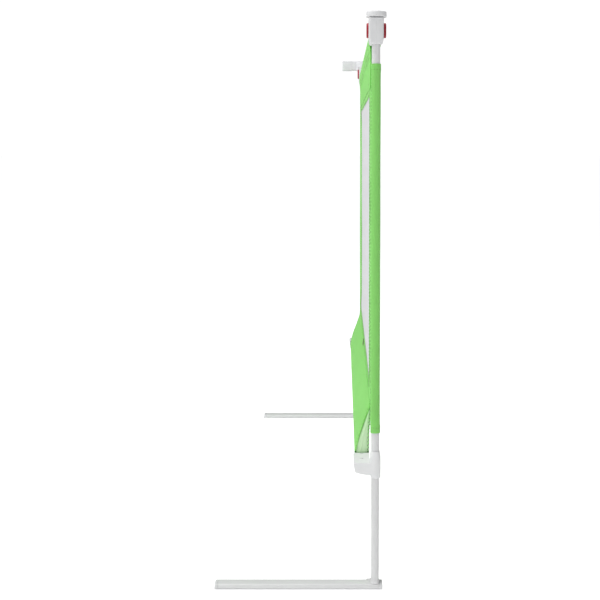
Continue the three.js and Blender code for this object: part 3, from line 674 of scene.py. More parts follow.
# ------------------------------------------------------------------ squeeze buttons
for side, sname in ((1, "bed"), (-1, "room")):
    out_y = but_hi.y / MM - PY - (1.0 if side > 0 else -0.35)
    loops = []
    prof = [(0.0, 8.3), (0.0, out_y - 1.2), (0.1, out_y - 0.75), (0.35, out_y - 0.4), (0.8, out_y - 0.1), (1.5, out_y), (2.4, out_y - 0.05), (3.6, out_y - 0.3), (5.6, out_y - 0.65), (8.2, out_y - 0.85)]
    for d, y in prof:
        loops.append([(x, side * y, z) for x, z in rrect(BX0 + d, BZ0 + d, BX1 - d, BZ1 - d, max(7.8 - d, 1.2), 8)])
    btn = loft("btn", loops)
    # three finger ridges in the dish
    for dz in (-3.6, 0.0, 3.6):
        zc = (BZ0 + BZ1) / 2 + dz
        ridge = []
        L = 6.2 - abs(dz) * 0.25
        for i in range(7):
            t = math.pi * i / 6
            ridge.append([((BX0 + BX1) / 2 - L * math.cos(t) * 1.0, side * (out_y - 1.6), zc - 0.7 * math.sin(t) - 0.02), ((BX0 + BX1) / 2 - L * math.cos(t), side * (out_y - 0.25 + 0.12 * math.sin(t)), zc - 0.3 * math.sin(t) - 0.01),
                          ((BX0 + BX1) / 2 - L * math.cos(t), side * (out_y - 0.25 + 0.12 * math.sin(t)), zc + 0.3 * math.sin(t) + 0.01), ((BX0 + BX1) / 2 - L * math.cos(t), side * (out_y - 1.6), zc + 0.7 * math.sin(t) + 0.02)])
        boolean(btn, loft("ridge", ridge), "UNION")
    # pocket for the slider's lug, retaining strips and drive nose at the back
    pk = [(-665.1, 5.0), (-665.1, 6.6), (-660.2, 11.5), (-653.4, 11.5), (-653.4, 5.0)]
    for z0, z1 in ((812.4, 818.0), (831.0, 839.8)):
        boolean(btn, brick(-664, -650, *sorted((side * 7.2, side * 8.7)), z0, z1), "UNION")
    boolean(btn, brick(-667.3, -664.6, *sorted((side * 6.6, side * 9.5)), 820.5, 827.5), "UNION")
    boolean(btn, loft("cut", [[(x, side * y, z) for x, y in pk] for z in (818.2, 829.8)]))
    r = mirrored_copy(btn, f"right_button_{sname}_cap")
    btn.name = f"left_button_{sname}_cap"
    register(btn, f"left_button_{sname}", red_m, [f"left_button_{sname}"], 30)
    register(r, f"right_button_{sname}", red_m, [f"right_button_{sname}"], 30)

# ------------------------------------------------------------------ rails (smooth flat-oval tube)
LY, LZ = (low_lo.y + low_hi.y) / 2 / MM - PY, (low_lo.z + low_hi.z) / 2 / MM
lw_, lt_ = (low_hi.y - low_lo.y) / MM, (low_hi.z - low_lo.z) / MM
low = tube("low", oval(lw_, lt_, LY, LZ, 14), oval(lw_ - 2.4, lt_ - 2.4, LY, LZ, 14), "x", low_lo.x / MM, low_hi.x / MM, r=0.3)
both("lower_rail_tube", low, "panel", steel_m, "lower_rail")

# ------------------------------------------------------------------ lower joint
JX0, JX1 = joint_lo.x / MM, joint_hi.x / MM
JY = joint_hi.y / MM - PY
JZ0, JZ1 = joint_lo.z / MM, joint_hi.z / MM
JH = -(joint_lo.y / MM - PY)
ATOP = 193.5
cxs, lng = (JX0 - 669.4) / 2, (-669.4 - JX0)
sl = []
for d, z in ((1.5, JZ0), (0.8, JZ0 + 0.3), (0.35, JZ0 + 0.9), (0.05, JZ0 + 1.8), (0, JZ0 + 3), (0, JZ1 - 11.6), (0.08, JZ1 - 10.0), (0.3, JZ1 - 8.6), (0.68, JZ1 - 7.2), (1.05, JZ1 - 5.8), (1.35, JZ1 - 4.4), (1.52, JZ1 - 3.4), (1.62, JZ1 - 2.9)):
    sl.append([(x, y, z) for x, y in rrect(JX0 + d, -JH + d, -669.4 - d, JH - d, 6.4, 9)])
joint = loft("joint", sl)
arm_pts = [(-2.0, 175.1), (8.0, 175.1), (14.0, 175.2), (19.0, 175.9), (24.0, 177.0), (JY - 5.6, 177.9)]
for i in range(1, 6):
    t = -math.pi / 2 * (1 - i / 5)
    arm_pts.append((JY - 5.4 + 3.6 * math.cos(t), 181.5 + 3.6 * math.sin(t)))
arm_pts.append((JY - 0.9, 186.0))
for i in range(6):
    t = math.pi / 2 * i / 5
    arm_pts.append((JY - 1.5 + 1.4 * math.cos(t), ATOP - 1.5 + 1.5 * math.sin(t)))
arm_pts += [(-2.0, ATOP)]
arm = rounded_prism("arm", arm_pts, "x", JX0 + 0.8, JX1, 0.9, 0.9, n=5)
boolean(arm, brick(-668.6, -600, -10, 8.2, 160, 200))
boolean(joint, arm, "UNION")
boolean(joint, loft("cut", [[(x, y, z) for x, y in oval(POST_LONG + 0.3, POST_THIN + 1.0, PX, 0.35, 16)] for z in (100, 300)]))
boolean(joint, loft("cut", [[(x, y, z) for y, z in oval(lw_ + 0.6, lt_ + 0.6, LY, LZ, 14)] for x in (low_lo.x / MM - 0.3, -600)]))
for x in (-669.5, -634.5):
    boolean(joint, bar("z", 2.6, 188.0, 200, x, LY, 32))
both("lower_joint_body", joint, "panel", joint_painted_light_m, "lower_joint", angle=28)
for idx, x in ((1, -669.5), (2, -634.5)):
    prof = ((2.1, 191.35), (2.15, 191.6), (2.15, 192.6), (1.9, 192.95), (1.3, 193.05))
    head = loft("head", [[(x + r_ * math.cos(2 * math.pi * i / 28), LY + r_ * math.sin(2 * math.pi * i / 28), z) for i in range(28)] for r_, z in prof])
    boolean(head, brick(x - 0.32, x + 0.32, LY - 1.5, LY + 1.5, 192.2, 194))
    boolean(head, brick(x - 1.5, x + 1.5, LY - 0.32, LY + 0.32, 192.2, 194))
    both(f"joint_screw_{idx}_head", head, "panel", zinc_m, f"joint_screw_{idx}")

# ------------------------------------------------------------------ corner link on the right post cap
RX = -PX
lx0, lx1 = link_lo.x / MM, link_hi.x / MM
ly0, ly1 = link_lo.y / MM - PY, link_hi.y / MM - PY
lz0, lz1 = link_lo.z / MM, link_hi.z / MM
ring_y = -ly0
cl = []
for d, z in ((0.5, lz0), (0.1, lz0 + 0.4), (0, lz0 + 0.9), (0, lz1 - 3.0), (0.25, lz1 - 1.8), (0.9, lz1 - 0.8), (1.9, lz1 - 0.2), (3.2, lz1), (9.0, lz1 + 0.0)):
    cl.append([(x, y, z) for x, y in rrect(lx0 + d, -ring_y + d, lx1 - d, ring_y - d, max(14 - d, 2), 10)])
link = loft("link", cl)
neck = rounded_prism("neck", rrect(RX - 12.6, lz0 + 0.4, RX + 12.6, lz1 - 0.4, 2.2, 6), "y", 12.0, 28.0, 0.2)
boolean(link, neck, "UNION")
blk = rounded_prism("blk", rrect(RX - 13, ly1 - 24.8, RX + 13, ly1, 3.2, 8), "z", lz0, lz1, 0.8, 2.0, n=5)
boolean(link, blk, "UNION")
boolean(link, loft("cut", [[(x, y, z) for x, y in oval(CL + 0.8, CW + 0.8, RX, 0, 18)] for z in (820, CZ1 + 0.8)]))
boolean(link, brick(RX - 60, RX - 12, -HALF - 0.5, HALF + 0.5, 820, HZ1 + 1.0))
boolean(link, rounded_prism("cut", rrect(RX - 10.6, ly1 - 22.4, RX + 10.6, ly1 - 2.4, 2.4, 6), "z", 820, lz1 - 2.6, 0.2, 1.2))
# shallow parting groove round the block
boolean(link, brick(RX - 8.2, RX + 8.2, ly1 - 25.4, ly1 - 24.9, lz0 + 7.0, lz1 - 5.5))
register(link, "corner_link", link_m, ["corner_link"], 28)
link.name = "corner_link_clip"

# ------------------------------------------------------------------ cloth helpers


def grid_solid(name, P, T, wrap=False, UV=None):
    """Sheet of cloth from a grid of mid-surface points (mm) and a thickness grid; closed mesh."""
    P = np.asarray(P, float)
    nu, nv = P.shape[:2]
    if wrap:
        du = np.roll(P, -1, 0) - np.roll(P, 1, 0)
    else:
        du = np.gradient(P, axis=0)
    dv = np.gradient(P, axis=1)
    N = np.cross(du, dv)
    N /= np.maximum(np.linalg.norm(N, axis=2, keepdims=True), 1e-9)
    T = np.broadcast_to(np.asarray(T, float), (nu, nv))[..., None]
    A = P + N * T / 2
    B = P - N * T / 2
    verts = np.concatenate([A.reshape(-1, 3), B.reshape(-1, 3)])
    off = nu * nv
    faces = []
    idx = lambda i, j: (i % nu) * nv + j
    ru = nu if wrap else nu - 1
    for i in range(ru):
        for j in range(nv - 1):
            a, b, c, d = idx(i, j), idx(i + 1, j), idx(i + 1, j + 1), idx(i, j + 1)
            faces.append((a, b, c, d))
            faces.append((off + a, off + d, off + c, off + b))
    for i in range(ru):
        a, b = idx(i, 0), idx(i + 1, 0)
        faces.append((a, off + a, off + b, b))
        a, b = idx(i, nv - 1), idx(i + 1, nv - 1)
        faces.append((a, b, off + b, off + a))
    if not wrap:
        for j in range(nv - 1):
            a, b = idx(0, j), idx(0, j + 1)
            faces.append((a, b, off + b, off + a))
            a, b = idx(nu - 1, j), idx(nu - 1, j + 1)
            faces.append((a, off + a, off + b, b))
    if UV is None:
        UV = P[..., [0, 2]] * MM
    uvs = [tuple(t) for t in np.asarray(UV, float).reshape(-1, 2)] * 2
    o = new_object(name, verts.tolist(), faces, uvs)
    fix_normals(o)
    return o


def resample(path, step, closed=False):
    """Evenly spaced points along a smooth curve through the given 2D points (Catmull-Rom)."""
    p = [np.array(q, float) for q in path]
    n = len(p)
    dense = []
    segs = n if closed else n - 1
    for i in range(segs):
        p0 = p[(i - 1) % n] if closed or i > 0 else 2 * p[0] - p[1]
        p1, p2 = p[i % n], p[(i + 1) % n]
        p3 = p[(i + 2) % n] if closed or i < n - 2 else 2 * p[-1] - p[-2]
        for k in range(12):
            t = k / 12
            dense.append(0.5 * (2 * p1 + (p2 - p0) * t + (2 * p0 - 5 * p1 + 4 * p2 - p3) * t * t + (3 * p1 - p0 - 3 * p2 + p3) * t ** 3))
    dense.append(p[0] if closed else p[-1])
    dense = np.array(dense)
    s = np.concatenate([[0], np.cumsum(np.linalg.norm(np.diff(dense, axis=0), axis=1))])
    m = max(int(round(s[-1] / step)), 2)
    q = np.linspace(0, s[-1], m + 1)
    out = np.stack([np.interp(q, s, dense[:, 0]), np.interp(q, s, dense[:, 1])], 1)
    return (out[:-1], s[-1]) if closed else (out, s[-1])


stitch_v, stitch_f, stitch_uv = [], [], []


def stitch_row(points, normal, pitch=5.6, length=3.7, r=0.36, lift=0.12):
    """Lock-stitch row: small thread lozenges laid along a path of 3D points (mm)."""
    pts = np.array(points, float)
    s = np.concatenate([[0], np.cumsum(np.linalg.norm(np.diff(pts, axis=0), axis=1))])
    nrm = np.array(normal, float)
    count = int(s[-1] / pitch)
    for i in range(count):
        c = (i + 0.5) * pitch
        ends = []
        for q in (c - length / 2, c + length / 2):
            ends.append(np.array([np.interp(q, s, pts[:, k]) for k in range(3)]))
        mid = (ends[0] + ends[1]) / 2
        d = ends[1] - ends[0]
        L = np.linalg.norm(d)
        if L < 0.2:
            continue
        d /= L
        nn = nrm if nrm.ndim == 1 else nrm[min(int(c / s[-1] * (len(nrm) - 1)), len(nrm) - 1)]
        side = np.cross(d, nn)
        side /= max(np.linalg.norm(side), 1e-9)
        base = len(stitch_v)
        rings = ((-0.5, 0.0, -0.25), (-0.34, 0.8, 0.1), (0.0, 1.0, 0.25), (0.34, 0.8, 0.1), (0.5, 0.0, -0.25))
        first = len(stitch_v)
        idxs = []
        for t, k, up in rings:
            ctr = mid + d * L * t + nn * (lift + r * up)
            if k == 0:
                stitch_v.append(tuple(ctr))
                idxs.append([len(stitch_v) - 1])
            else:
                ring = []
                for a in range(6):
                    an = 2 * math.pi * a / 6
                    stitch_v.append(tuple(ctr + side * r * k * math.cos(an) + nn * r * k * 0.8 * math.sin(an)))
                    ring.append(len(stitch_v) - 1)
                idxs.append(ring)
        for a in range(6):
            b = (a + 1) % 6
            stitch_f.append((idxs[0][0], idxs[1][a], idxs[1][b]))
            stitch_f.append((idxs[1][a], idxs[2][a], idxs[2][b], idxs[1][b]))
            stitch_f.append((idxs[2][a], idxs[3][a], idxs[3][b], idxs[2][b]))
            stitch_f.append((idxs[3][a], idxs[4][0], idxs[3][b]))


CF = sleeve_hi.y / MM - PY          # bed-side face of the cover
MIDY = CF - 0.45
SZ0, SZ1 = sleeve_lo.z / MM + 2.5, sleeve_hi.z / MM
SEAM_X = 668.0
MX = mesh_hi.x / MM
MZ0, MZ1 = mesh_lo.z / MM, mesh_hi.z / MM
POX = pocket_hi.x / MM
NOTCH_X = 631.0
TOP_Z = band_hi.z / MM


def pucker(s, depth, seed, wave=15.0, reach=22.0, amp=0.5):
    """Small gathers beside a sewn line: s runs along the seam, depth is the distance from it."""
    ph = s / wave * 2 * math.pi + 2.4 * nz(s * 0.011, seed, 3.1)
    return amp * math.exp(-max(depth, 0.0) / reach) * math.sin(ph) * (0.55 + 0.75 * nz(s * 0.02, seed + 9.7, 1.3))


def slack(x, z):
    """How far the panel hangs back from the post plane: a soft dip towards its far end and a faint belly elsewhere."""
    up = max(0.0, min(1.0, (z - MZ0 + 20) / 60.0)) * max(0.0, min(1.0, (MZ1 + 20 - z) / 60.0))
    up = up * up * (3 - 2 * up)
    return up * (-2.4 * math.exp(-((x - 566) / 80.0) ** 2) - 0.5 * math.exp(-((x + 60) / 260.0) ** 2))


# ------------------------------------------------------------------ side sleeves
def sleeve_piece(sign):
    """Cloth tube round the post: flat on the bed side, pinched to the border at the inner seam."""
    r, yo = POST_THIN / 2 + 0.75, 0.35
    cx = abs(PX)
    hx = POST_LONG / 2 - POST_THIN / 2
    path = []
    # room side from the seam, round the outside end, back along the bed side
    path.append((SEAM_X + 0.2, MIDY - 0.75))
    path.append((SEAM_X + 1.4, MIDY - 2.6))
    path.append((cx - hx - r * 0.98, 1.2))
    for i in range(1, 9):
        t = math.pi + math.pi / 2 * i / 8
        path.append((cx - hx + r * math.cos(t), yo + r * math.sin(t)))
    for i in range(13):
        t = -math.pi / 2 + math.pi * i / 12
        path.append((cx + hx + r * math.cos(t), yo + r * math.sin(t)))
    for k in range(1, 5):
        path.append((cx + hx - (cx + hx - SEAM_X - 0.3) * k / 4, MIDY * 1.0 if k > 1 else (r + MIDY) / 2))
    p, total = resample(path, 1.15)
    nv = 182
    P = np.zeros((len(p), nv, 3))
    T = np.zeros((len(p), nv))
    UV = np.zeros((len(p), nv, 2))
    for i, (x, y) in enumerate(p):
        s = total * i / (len(p) - 1)
        a = p[max(i - 1, 0)]
        b = p[min(i + 1, len(p) - 1)]
        tx, ty = b - a
        l = math.hypot(tx, ty)
        nx_, ny_ = ty / l, -tx / l
        for j in range(nv):
            z = SZ0 + (SZ1 - SZ0) * j / (nv - 1)
            edge = min(z - SZ0, SZ1 - z)
            wr = 0.28 * (nz(s * 0.09, z * 0.012, 4.0 + sign) + 0.5 * nz(s * 0.2, z * 0.05, 7.0)) + 0.10
            wr += 0.22 * math.exp(-edge / 16.0) * (0.6 + math.sin(s * 0.55 + sign))
            wr += pucker(z, abs(x - SEAM_X), 11.0 + sign, 13.0, 7.0, 0.35)
            wr = max(wr * 0.8, -0.06)
            damp = min(1.0, min(i, len(p) - 1 - i) / 5.0)
            P[i, j] = (sign * (x + nx_ * wr * damp), y + ny_ * wr * damp, z)
            T[i, j] = 0.58 + (0.5 if edge < 9.5 else 0.0)
            UV[i, j] = (s * MM, z * MM)
    # hem edges roll slightly
    o = grid_solid("sleeve", P, T, UV=UV)
    for z in (SZ0 + 8.0, SZ1 - 8.0):
        row, nrm = [], []
        for i in range(2, len(p) - 1):
            a, b = p[max(i - 1, 0)], p[min(i + 1, len(p) - 1)]
            tx, ty = b - a
            l = math.hypot(tx, ty)
            n_ = (sign * ty / l, -tx / l, 0)
            j = int((z - SZ0) / (SZ1 - SZ0) * (nv - 1))
            row.append((P[i, j, 0] + n_[0] * 0.6, P[i, j, 1] + n_[1] * 0.6, z))
            nrm.append(n_)
        stitch_row(row, nrm, pitch=4.6, length=3.2, r=0.3)
    return o


sl_l = sleeve_piece(-1)
sl_r = sleeve_piece(1)
sl_l.name, sl_r.name = "left_cloth_sleeve", "right_cloth_sleeve"
register(sl_l, "panel", cloth_m, ["left_cover_sleeve"], 50)
register(sl_r, "panel", cloth_m, ["right_cover_sleeve"], 50)

# ------------------------------------------------------------------ border frame round the mesh window
WIN_R = 22.0
wx, wz0, wz1 = MX + 4.5, MZ0 - 2.5, MZ1 + 6.0
BOT = SZ0 + 3.0
outer = []


def seg(a, b, step=8.0):
    n_ = max(int(math.hypot(b[0] - a[0], b[1] - a[1]) / step), 1)
    return [(a[0] + (b[0] - a[0]) * i / n_, a[1] + (b[1] - a[1]) * i / n_) for i in range(n_)]


corners = [(SEAM_X, BOT), (SEAM_X, SZ1), (NOTCH_X + 2, SZ1), (NOTCH_X - 4, SZ1 - 4), (-NOTCH_X + 4, SZ1 - 4), (-NOTCH_X - 2, SZ1), (-SEAM_X, SZ1), (-SEAM_X, BOT), (-POX - 3.5, BOT), (-POX - 1.0, 259.0), (POX + 1.0, 259.0), (POX + 3.5, BOT)]
for a, b in zip(corners, corners[1:] + corners[:1]):
    outer += seg(a, b)


def to_window(x, z, grow=0.0):
    """Nearest point of the rounded window edge."""
    cx_, r_ = wx - WIN_R, WIN_R + grow
    qx = min(max(x, -cx_), cx_)
    qz = min(max(z, wz0 + WIN_R), wz1 - WIN_R)
    dx, dz = x - qx, z - qz
    l = math.hypot(dx, dz)
    return (qx + dx / l * r_, qz + dz / l * r_)


NL = 18
P = np.zeros((len(outer), NL, 3))
T = np.zeros((len(outer), NL))
arc = 0.0
for i, (x, z) in enumerate(outer):
    qx, qz = to_window(x, z)
    L = math.hypot(x - qx, z - qz)
    if i:
        arc += math.hypot(x - outer[i - 1][0], z - outer[i - 1][1])
    for j in range(NL):
        t = j / (NL - 1)
        px_, pz_ = qx + (x - qx) * t, qz + (z - qz) * t
        d_in, d_out = L * t, L * (1 - t)
        w_ = 1.1 * nz(px_ * 0.008, pz_ * 0.010, 2.0) + 0.75 * nz(px_ * 0.022 + pz_ * 0.012, pz_ * 0.016, 5.0)
        w_ += pucker(arc, d_in - 10, 21.0, 19.0, 24.0, 1.9)
        if abs(px_) > POX + 2:
            w_ += pucker(pz_, abs(abs(px_) - SEAM_X), 31.0, 16.0, 20.0, 1.5)
            w_ += 0.5 * math.exp(-((abs(px_) - 640) / 16.0) ** 2) * math.exp(-max(pz_ - BOT, 0) / 60.0) * math.sin(px_ * 0.16)
        edge = min(1.0, d_out / 6.0, max(d_in, 0.0) / 13.0 + 0.08)
        P[i, j] = (px_, MIDY - 0.05 + w_ * 0.7 * edge + slack(px_, pz_) * min(1.0, d_out / 40.0), pz_)
        T[i, j] = 0.85
frame_o = grid_solid("border", P, T, wrap=True)
frame_o.name = "cloth_border"
register(frame_o, "panel", cloth_m, (), 50)


# binding tape round the window, both faces
def binding(name, ymid, thick, w_in, w_out, bow):
    pts = []
    step = 5.0
    base = []
    for a, b in (((wx, wz0 + WIN_R), (wx, wz1 - WIN_R)), ((wx - WIN_R, wz1), (-wx + WIN_R, wz1)), ((-wx, wz1 - WIN_R), (-wx, wz0 + WIN_R)), ((-wx + WIN_R, wz0), (wx - WIN_R, wz0))):
        base += seg(a, b, step)
        # quarter turn to the next side
        cx_ = math.copysign(wx - WIN_R, b[0])
        cz_ = wz1 - WIN_R if b[1] > (wz0 + wz1) / 2 else wz0 + WIN_R
        a0 = math.atan2(b[1] - cz_, b[0] - cx_)
        for k in range(9):
            base.append((cx_ + WIN_R * math.cos(a0 + math.pi / 2 * k / 9), cz_ + WIN_R * math.sin(a0 + math.pi / 2 * k / 9)))
    m = 7
    Pb = np.zeros((len(base), m, 3))
    arc_ = 0.0
    for i, (x, z) in enumerate(base):
        cx_ = min(max(x, -(wx - WIN_R)), wx - WIN_R)
        cz_ = min(max(z, wz0 + WIN_R), wz1 - WIN_R)
        dx, dz = x - cx_, z - cz_
        l = math.hypot(dx, dz)
        dx, dz = dx / l, dz / l
        if i:
            arc_ += math.hypot(x - base[i - 1][0], z - base[i - 1][1])
        for j in range(m):
            t = j / (m - 1)
            o_ = -w_in + (w_in + w_out) * t
            swell = bow * (1 - (2 * t - 1) ** 4)
            Pb[i, j] = (x + dx * o_, ymid + swell + 0.10 * math.sin(arc_ * 0.42) * bow + slack(x, z), z + dz * o_)
    ob = grid_solid(name, Pb, thick, wrap=True)
    return ob, base, Pb


bed_bind, base_path, PB = binding("window_binding_bed", MIDY + 0.72, 0.55, 4.5, 6.5, 0.35)
register(bed_bind, "panel", bind_painted_shade_m, (), 50)
room_bind, _, PR = binding("window_binding_room", MIDY - 0.85, 0.55, 4.5, 6.5, -0.35)
register(room_bind, "panel", bind_painted_shade_m, (), 50)
for j, lift in ((1, 0.42), (5, 0.42)):
    loop_pts = [tuple(PB[i, j] + np.array((0, 0.28, 0))) for i in range(len(base_path))]
    stitch_row(loop_pts + loop_pts[:1], (0, 1, 0), pitch=5.4, length=3.6, r=0.32)
    loop_pts = [tuple(PR[i, j] - np.array((0, 0.28, 0))) for i in range(len(base_path))]
    stitch_row(loop_pts + loop_pts[:1], (0, -1, 0), pitch=5.4, length=3.6, r=0.32)

# ------------------------------------------------------------------ mesh window
nx_, nz_ = 170, 64
P = np.zeros((nx_, nz_, 3))
NX, NZ0, NZ1 = MX + 3.0, MZ0 - 1.0, MZ1 + 4.5
for i in range(nx_):
    for j in range(nz_):
        x = -NX + 2 * NX * i / (nx_ - 1)
        z = NZ0 + (NZ1 - NZ0) * j / (nz_ - 1)
        ex = max(0.0, min(1.0, min(abs(x + NX), abs(NX - x)) / 60.0, min(z - NZ0, NZ1 - z) / 60.0))
        P[i, j] = (x, MIDY - 0.05 + slack(x, z) + ex * (0.7 * nz(x * 0.006, z * 0.008, 8.0) - 0.15), z)
net = grid_solid("net_panel", P, 0.35)
register(net, "panel", net_m, ["mesh_window"], 60)

# ------------------------------------------------------------------ top band: rail tunnel and front skirt
RZ0, RZ1 = rail_lo.z / MM, rail_hi.z / MM
BAND_Z0 = 746.0
BY = MIDY + 0.95
ry = band_hi.y / MM - PY - 0.42
top_z = TOP_Z - 0.42
band_path = [(BY, BAND_Z0), (BY, BAND_Z0 + 13), (BY, 771), (BY + 0.05, 785), (BY + 0.2, 796.0), (BY + 0.75, 803.0), (ry - 0.35, 809.5), (ry, 815.0), (ry, top_z - 5.8)]
for i in range(1, 10):
    t = math.pi * i / 10
    band_path.append(((ry - 5.6) * (1 if t < math.pi / 2 else -1) + 5.6 * math.cos(t), top_z - 5.6 + 5.6 * math.sin(t)))
band_path += [(-ry, top_z - 5.8), (-ry, RZ0 + 4.5), (-ry + 1.6, RZ0 + 0.6), (-ry + 4.4, RZ0 - 0.75), (-1.0, RZ0 - 0.85), (3.6, RZ0 - 1.3), (BY - 1.2, 803.0), (BY - 1.5, 797.0), (BY - 1.7, 787.0)]
bp_, btot = resample(band_path, 2.1)
nu = 210
P = np.zeros((nu, len(bp_), 3))
T = np.zeros((nu, len(bp_)))
UV = np.zeros((nu, len(bp_), 2))
ssum = 0.0
ssum_top = 0.0                                    # cloth length up to the crown of the rail
for k in range(1, len(bp_)):
    if bp_[k][0] < 1.0:
        break
    ssum_top += float(np.linalg.norm(bp_[k] - bp_[k - 1]))
for j, (y, z) in enumerate(bp_):
    if j:
        ssum += float(np.linalg.norm(bp_[j] - bp_[j - 1]))
    wide = -HX1 - 0.6 + (NOTCH_X + HX1 + 0.6) * max(0.0, min(1.0, (807.0 - z) / 3.0)) * (1 if j < len(bp_) / 2 else 0)
    a = bp_[max(j - 1, 0)]
    b = bp_[min(j + 1, len(bp_) - 1)]
    ty, tz = b - a
    l = math.hypot(ty, tz)
    ny_, nz2 = tz / l, -ty / l
    front = j < len(bp_) * 0.45 and z < 806
    for i in range(nu):
        u = -1 + 2 * i / (nu - 1)
        # closer spacing at both ends for the hems
        x = wide * math.sin(u * math.pi / 2 * 0.86) / math.sin(math.pi / 2 * 0.86)
        d_end = wide - abs(x)
        w_ = 0.0
        if front:
            w_ += 0.55 * (0.5 + nz(x * 0.012, z * 0.05, 14.0)) * 0.8
            w_ += pucker(x, z - BAND_Z0 - 8, 41.0, 18.0, 18.0, 0.85)
            w_ += pucker(x + 40, 800 - z, 43.0, 20.0, 14.0, 0.60)
            w_ = max(w_, -0.1)
        elif z > RZ0:
            w_ += 0.12 * nz(x * 0.02, z * 0.1, 17.0) + 0.05
        w_ *= min(1.0, d_end / 6.0)
        if j < len(bp_) * 0.45 and z > 776:
            lift = min(1.0, (z - 776) / 24.0)
            w_ += 2.0 * lift * lift * (3 - 2 * lift) * (1 - math.exp(-d_end / 55.0)) * max(0.0, min(1.0, (ssum_top - ssum) / 9.0))
        P[i, j] = (x, y + ny_ * w_, z + nz2 * w_)
        hem = (front and (d_end < 9.0 or z < BAND_Z0 + 9.0)) or (d_end < 7.0)
        T[i, j] = 0.78 + (0.35 if hem else 0.0)
        UV[i, j] = (x * MM, ssum * MM)
band = grid_solid("cloth_top_band", P, T, UV=UV)
register(band, "panel", cloth_m, ["cover_top_band"], 50)
xs = np.linspace(-NOTCH_X + 3, NOTCH_X - 3, 260)
for z, dy in ((BAND_Z0 + 3.0, 0.62), (BAND_Z0 + 9.0, 0.55)):
    stitch_row([(x, BY + dy, z) for x in xs], (0, 1, 0), pitch=5.6, length=3.8, r=0.34)
    stitch_row([(x, MIDY - 0.55, z) for x in xs], (0, -1, 0), pitch=5.6, length=3.8, r=0.3)
xs2 = np.linspace(HX1 + 4, -HX1 - 4, 260)
for z, off_ in ((791.0, 0.25), (797.5, 0.40)):
    up_ = (z - 776) / 24.0
    up_ = up_ * up_ * (3 - 2 * up_)
    stitch_row([(x, BY + 0.45 + off_ + 2.0 * up_ * (1 - math.exp(-max(-HX1 - 0.6 - abs(x), 0.0) / 55.0)), z) for x in xs2], (0, 1, 0), pitch=5.6, length=3.8, r=0.34)
    stitch_row([(x, BY - 2.2 + off_ * 0.6, z) for x in xs2], (0, -1, 0), pitch=5.6, length=3.8, r=0.34)
for s in (-1, 1):
    stitch_row([(s * (NOTCH_X - 6.5), BY + 0.65, z) for z in np.linspace(BAND_Z0 + 10, 790, 20)], (0, 1, 0), pitch=5.2, length=3.4, r=0.32)
    # seam line where the sleeve meets the border, both faces
    for dx in (2.2, 6.0):
        stitch_row([(s * (SEAM_X - dx), MIDY + 0.42, z) for z in np.linspace(BOT + 4, SZ1 - 4, 120)], (0, 1, 0), pitch=5.6, length=3.8, r=0.33)
        stitch_row([(s * (SEAM_X - dx), MIDY - 0.5, z) for z in np.linspace(BOT + 4, SZ1 - 4, 120)], (0, -1, 0), pitch=5.6, length=3.8, r=0.33)

# ------------------------------------------------------------------ lower pocket round the lower rail
ptop = 268.0
pocket_path = [(MIDY + 0.95, ptop), (MIDY + 1.3, 263), (9.7, 256.5), (12.2, 250), (15.1, 241), (18.3, 231), (21.5, 221.5), (24.3, 212), (26.8, 203), (28.6, 195), (29.6, 188), (29.3, 181.5), (27.2, 178.0), (20, 177.4), (13.2, 177.8), (10.7, 180.0),
               (9.7, 187), (9.5, 203), (9.1, 222), (7.6, 241), (MIDY - 0.75, 256), (MIDY - 1.05, 266)]
pp, ptot = resample(pocket_path, 3.2)
nu = 230
P = np.zeros((nu, len(pp), 3))
T = np.zeros((nu, len(pp)))
UV = np.zeros((nu, len(pp), 2))
ssum = 0.0
jmid = int(np.argmin(pp[:, 1]))
for j, (y, z) in enumerate(pp):
    if j:
        ssum += float(np.linalg.norm(pp[j] - pp[j - 1]))
    a = pp[max(j - 1, 0)]
    b = pp[min(j + 1, len(pp) - 1)]
    ty, tz = b - a
    l = math.hypot(ty, tz)
    ny_, nz2 = -tz / l, ty / l          # outwards from the loop
    bedside = y > LY - 6 and ssum < ptot * 0.5
    slope = max(0.0, min(1.0, (ptop - z) / 25.0)) * max(0.0, min(1.0, (z - 184) / 14.0))
    for i in range(nu):
        u = -1 + 2 * i / (nu - 1)
        x = POX * math.sin(u * math.pi / 2 * 0.88) / math.sin(math.pi / 2 * 0.88)
        d_end = POX - abs(x)
        w_ = 0.0
        front = j < jmid
        if front:
            w_ += slope * (1.3 * nz(x * 0.007, z * 0.012, 51.0) + 1.0 * nz(x * 0.028, z * 0.02, 53.0))
            w_ += pucker(x, ptop - z, 55.0, 19.0, 24.0, 1.5)
            w_ += slope * 0.35 * math.sin((x * 0.06 + z * 0.09) + 2 * nz(x * 0.01, 0.0, 57.0)) * math.exp(-d_end / 160.0)
            w_ += 0.5 * slope * math.exp(-d_end / 30.0)
        else:
            w_ += slope * (0.9 * nz(x * 0.008, z * 0.013, 61.0))
            w_ += pucker(x, ptop - z, 65.0, 18.0, 20.0, 0.5)
        P[i, j] = (x, y + ny_ * w_, z + nz2 * w_)
        T[i, j] = 0.8 + (0.45 if d_end < 9.0 else 0.0) + (0.25 if ssum < 8 else 0.0)
        UV[i, j] = (x * MM, ssum * MM)
pocket = grid_solid("cloth_lower_pocket", P, T, UV=UV)
register(pocket, "panel", cloth_m, ["lower_pocket"], 50)
pocket.data.materials.append(lining_painted_light_m)
pocket.data.materials.append(bind_painted_shade_m)
centre_line = [(q[0], q[1]) for q in pp]
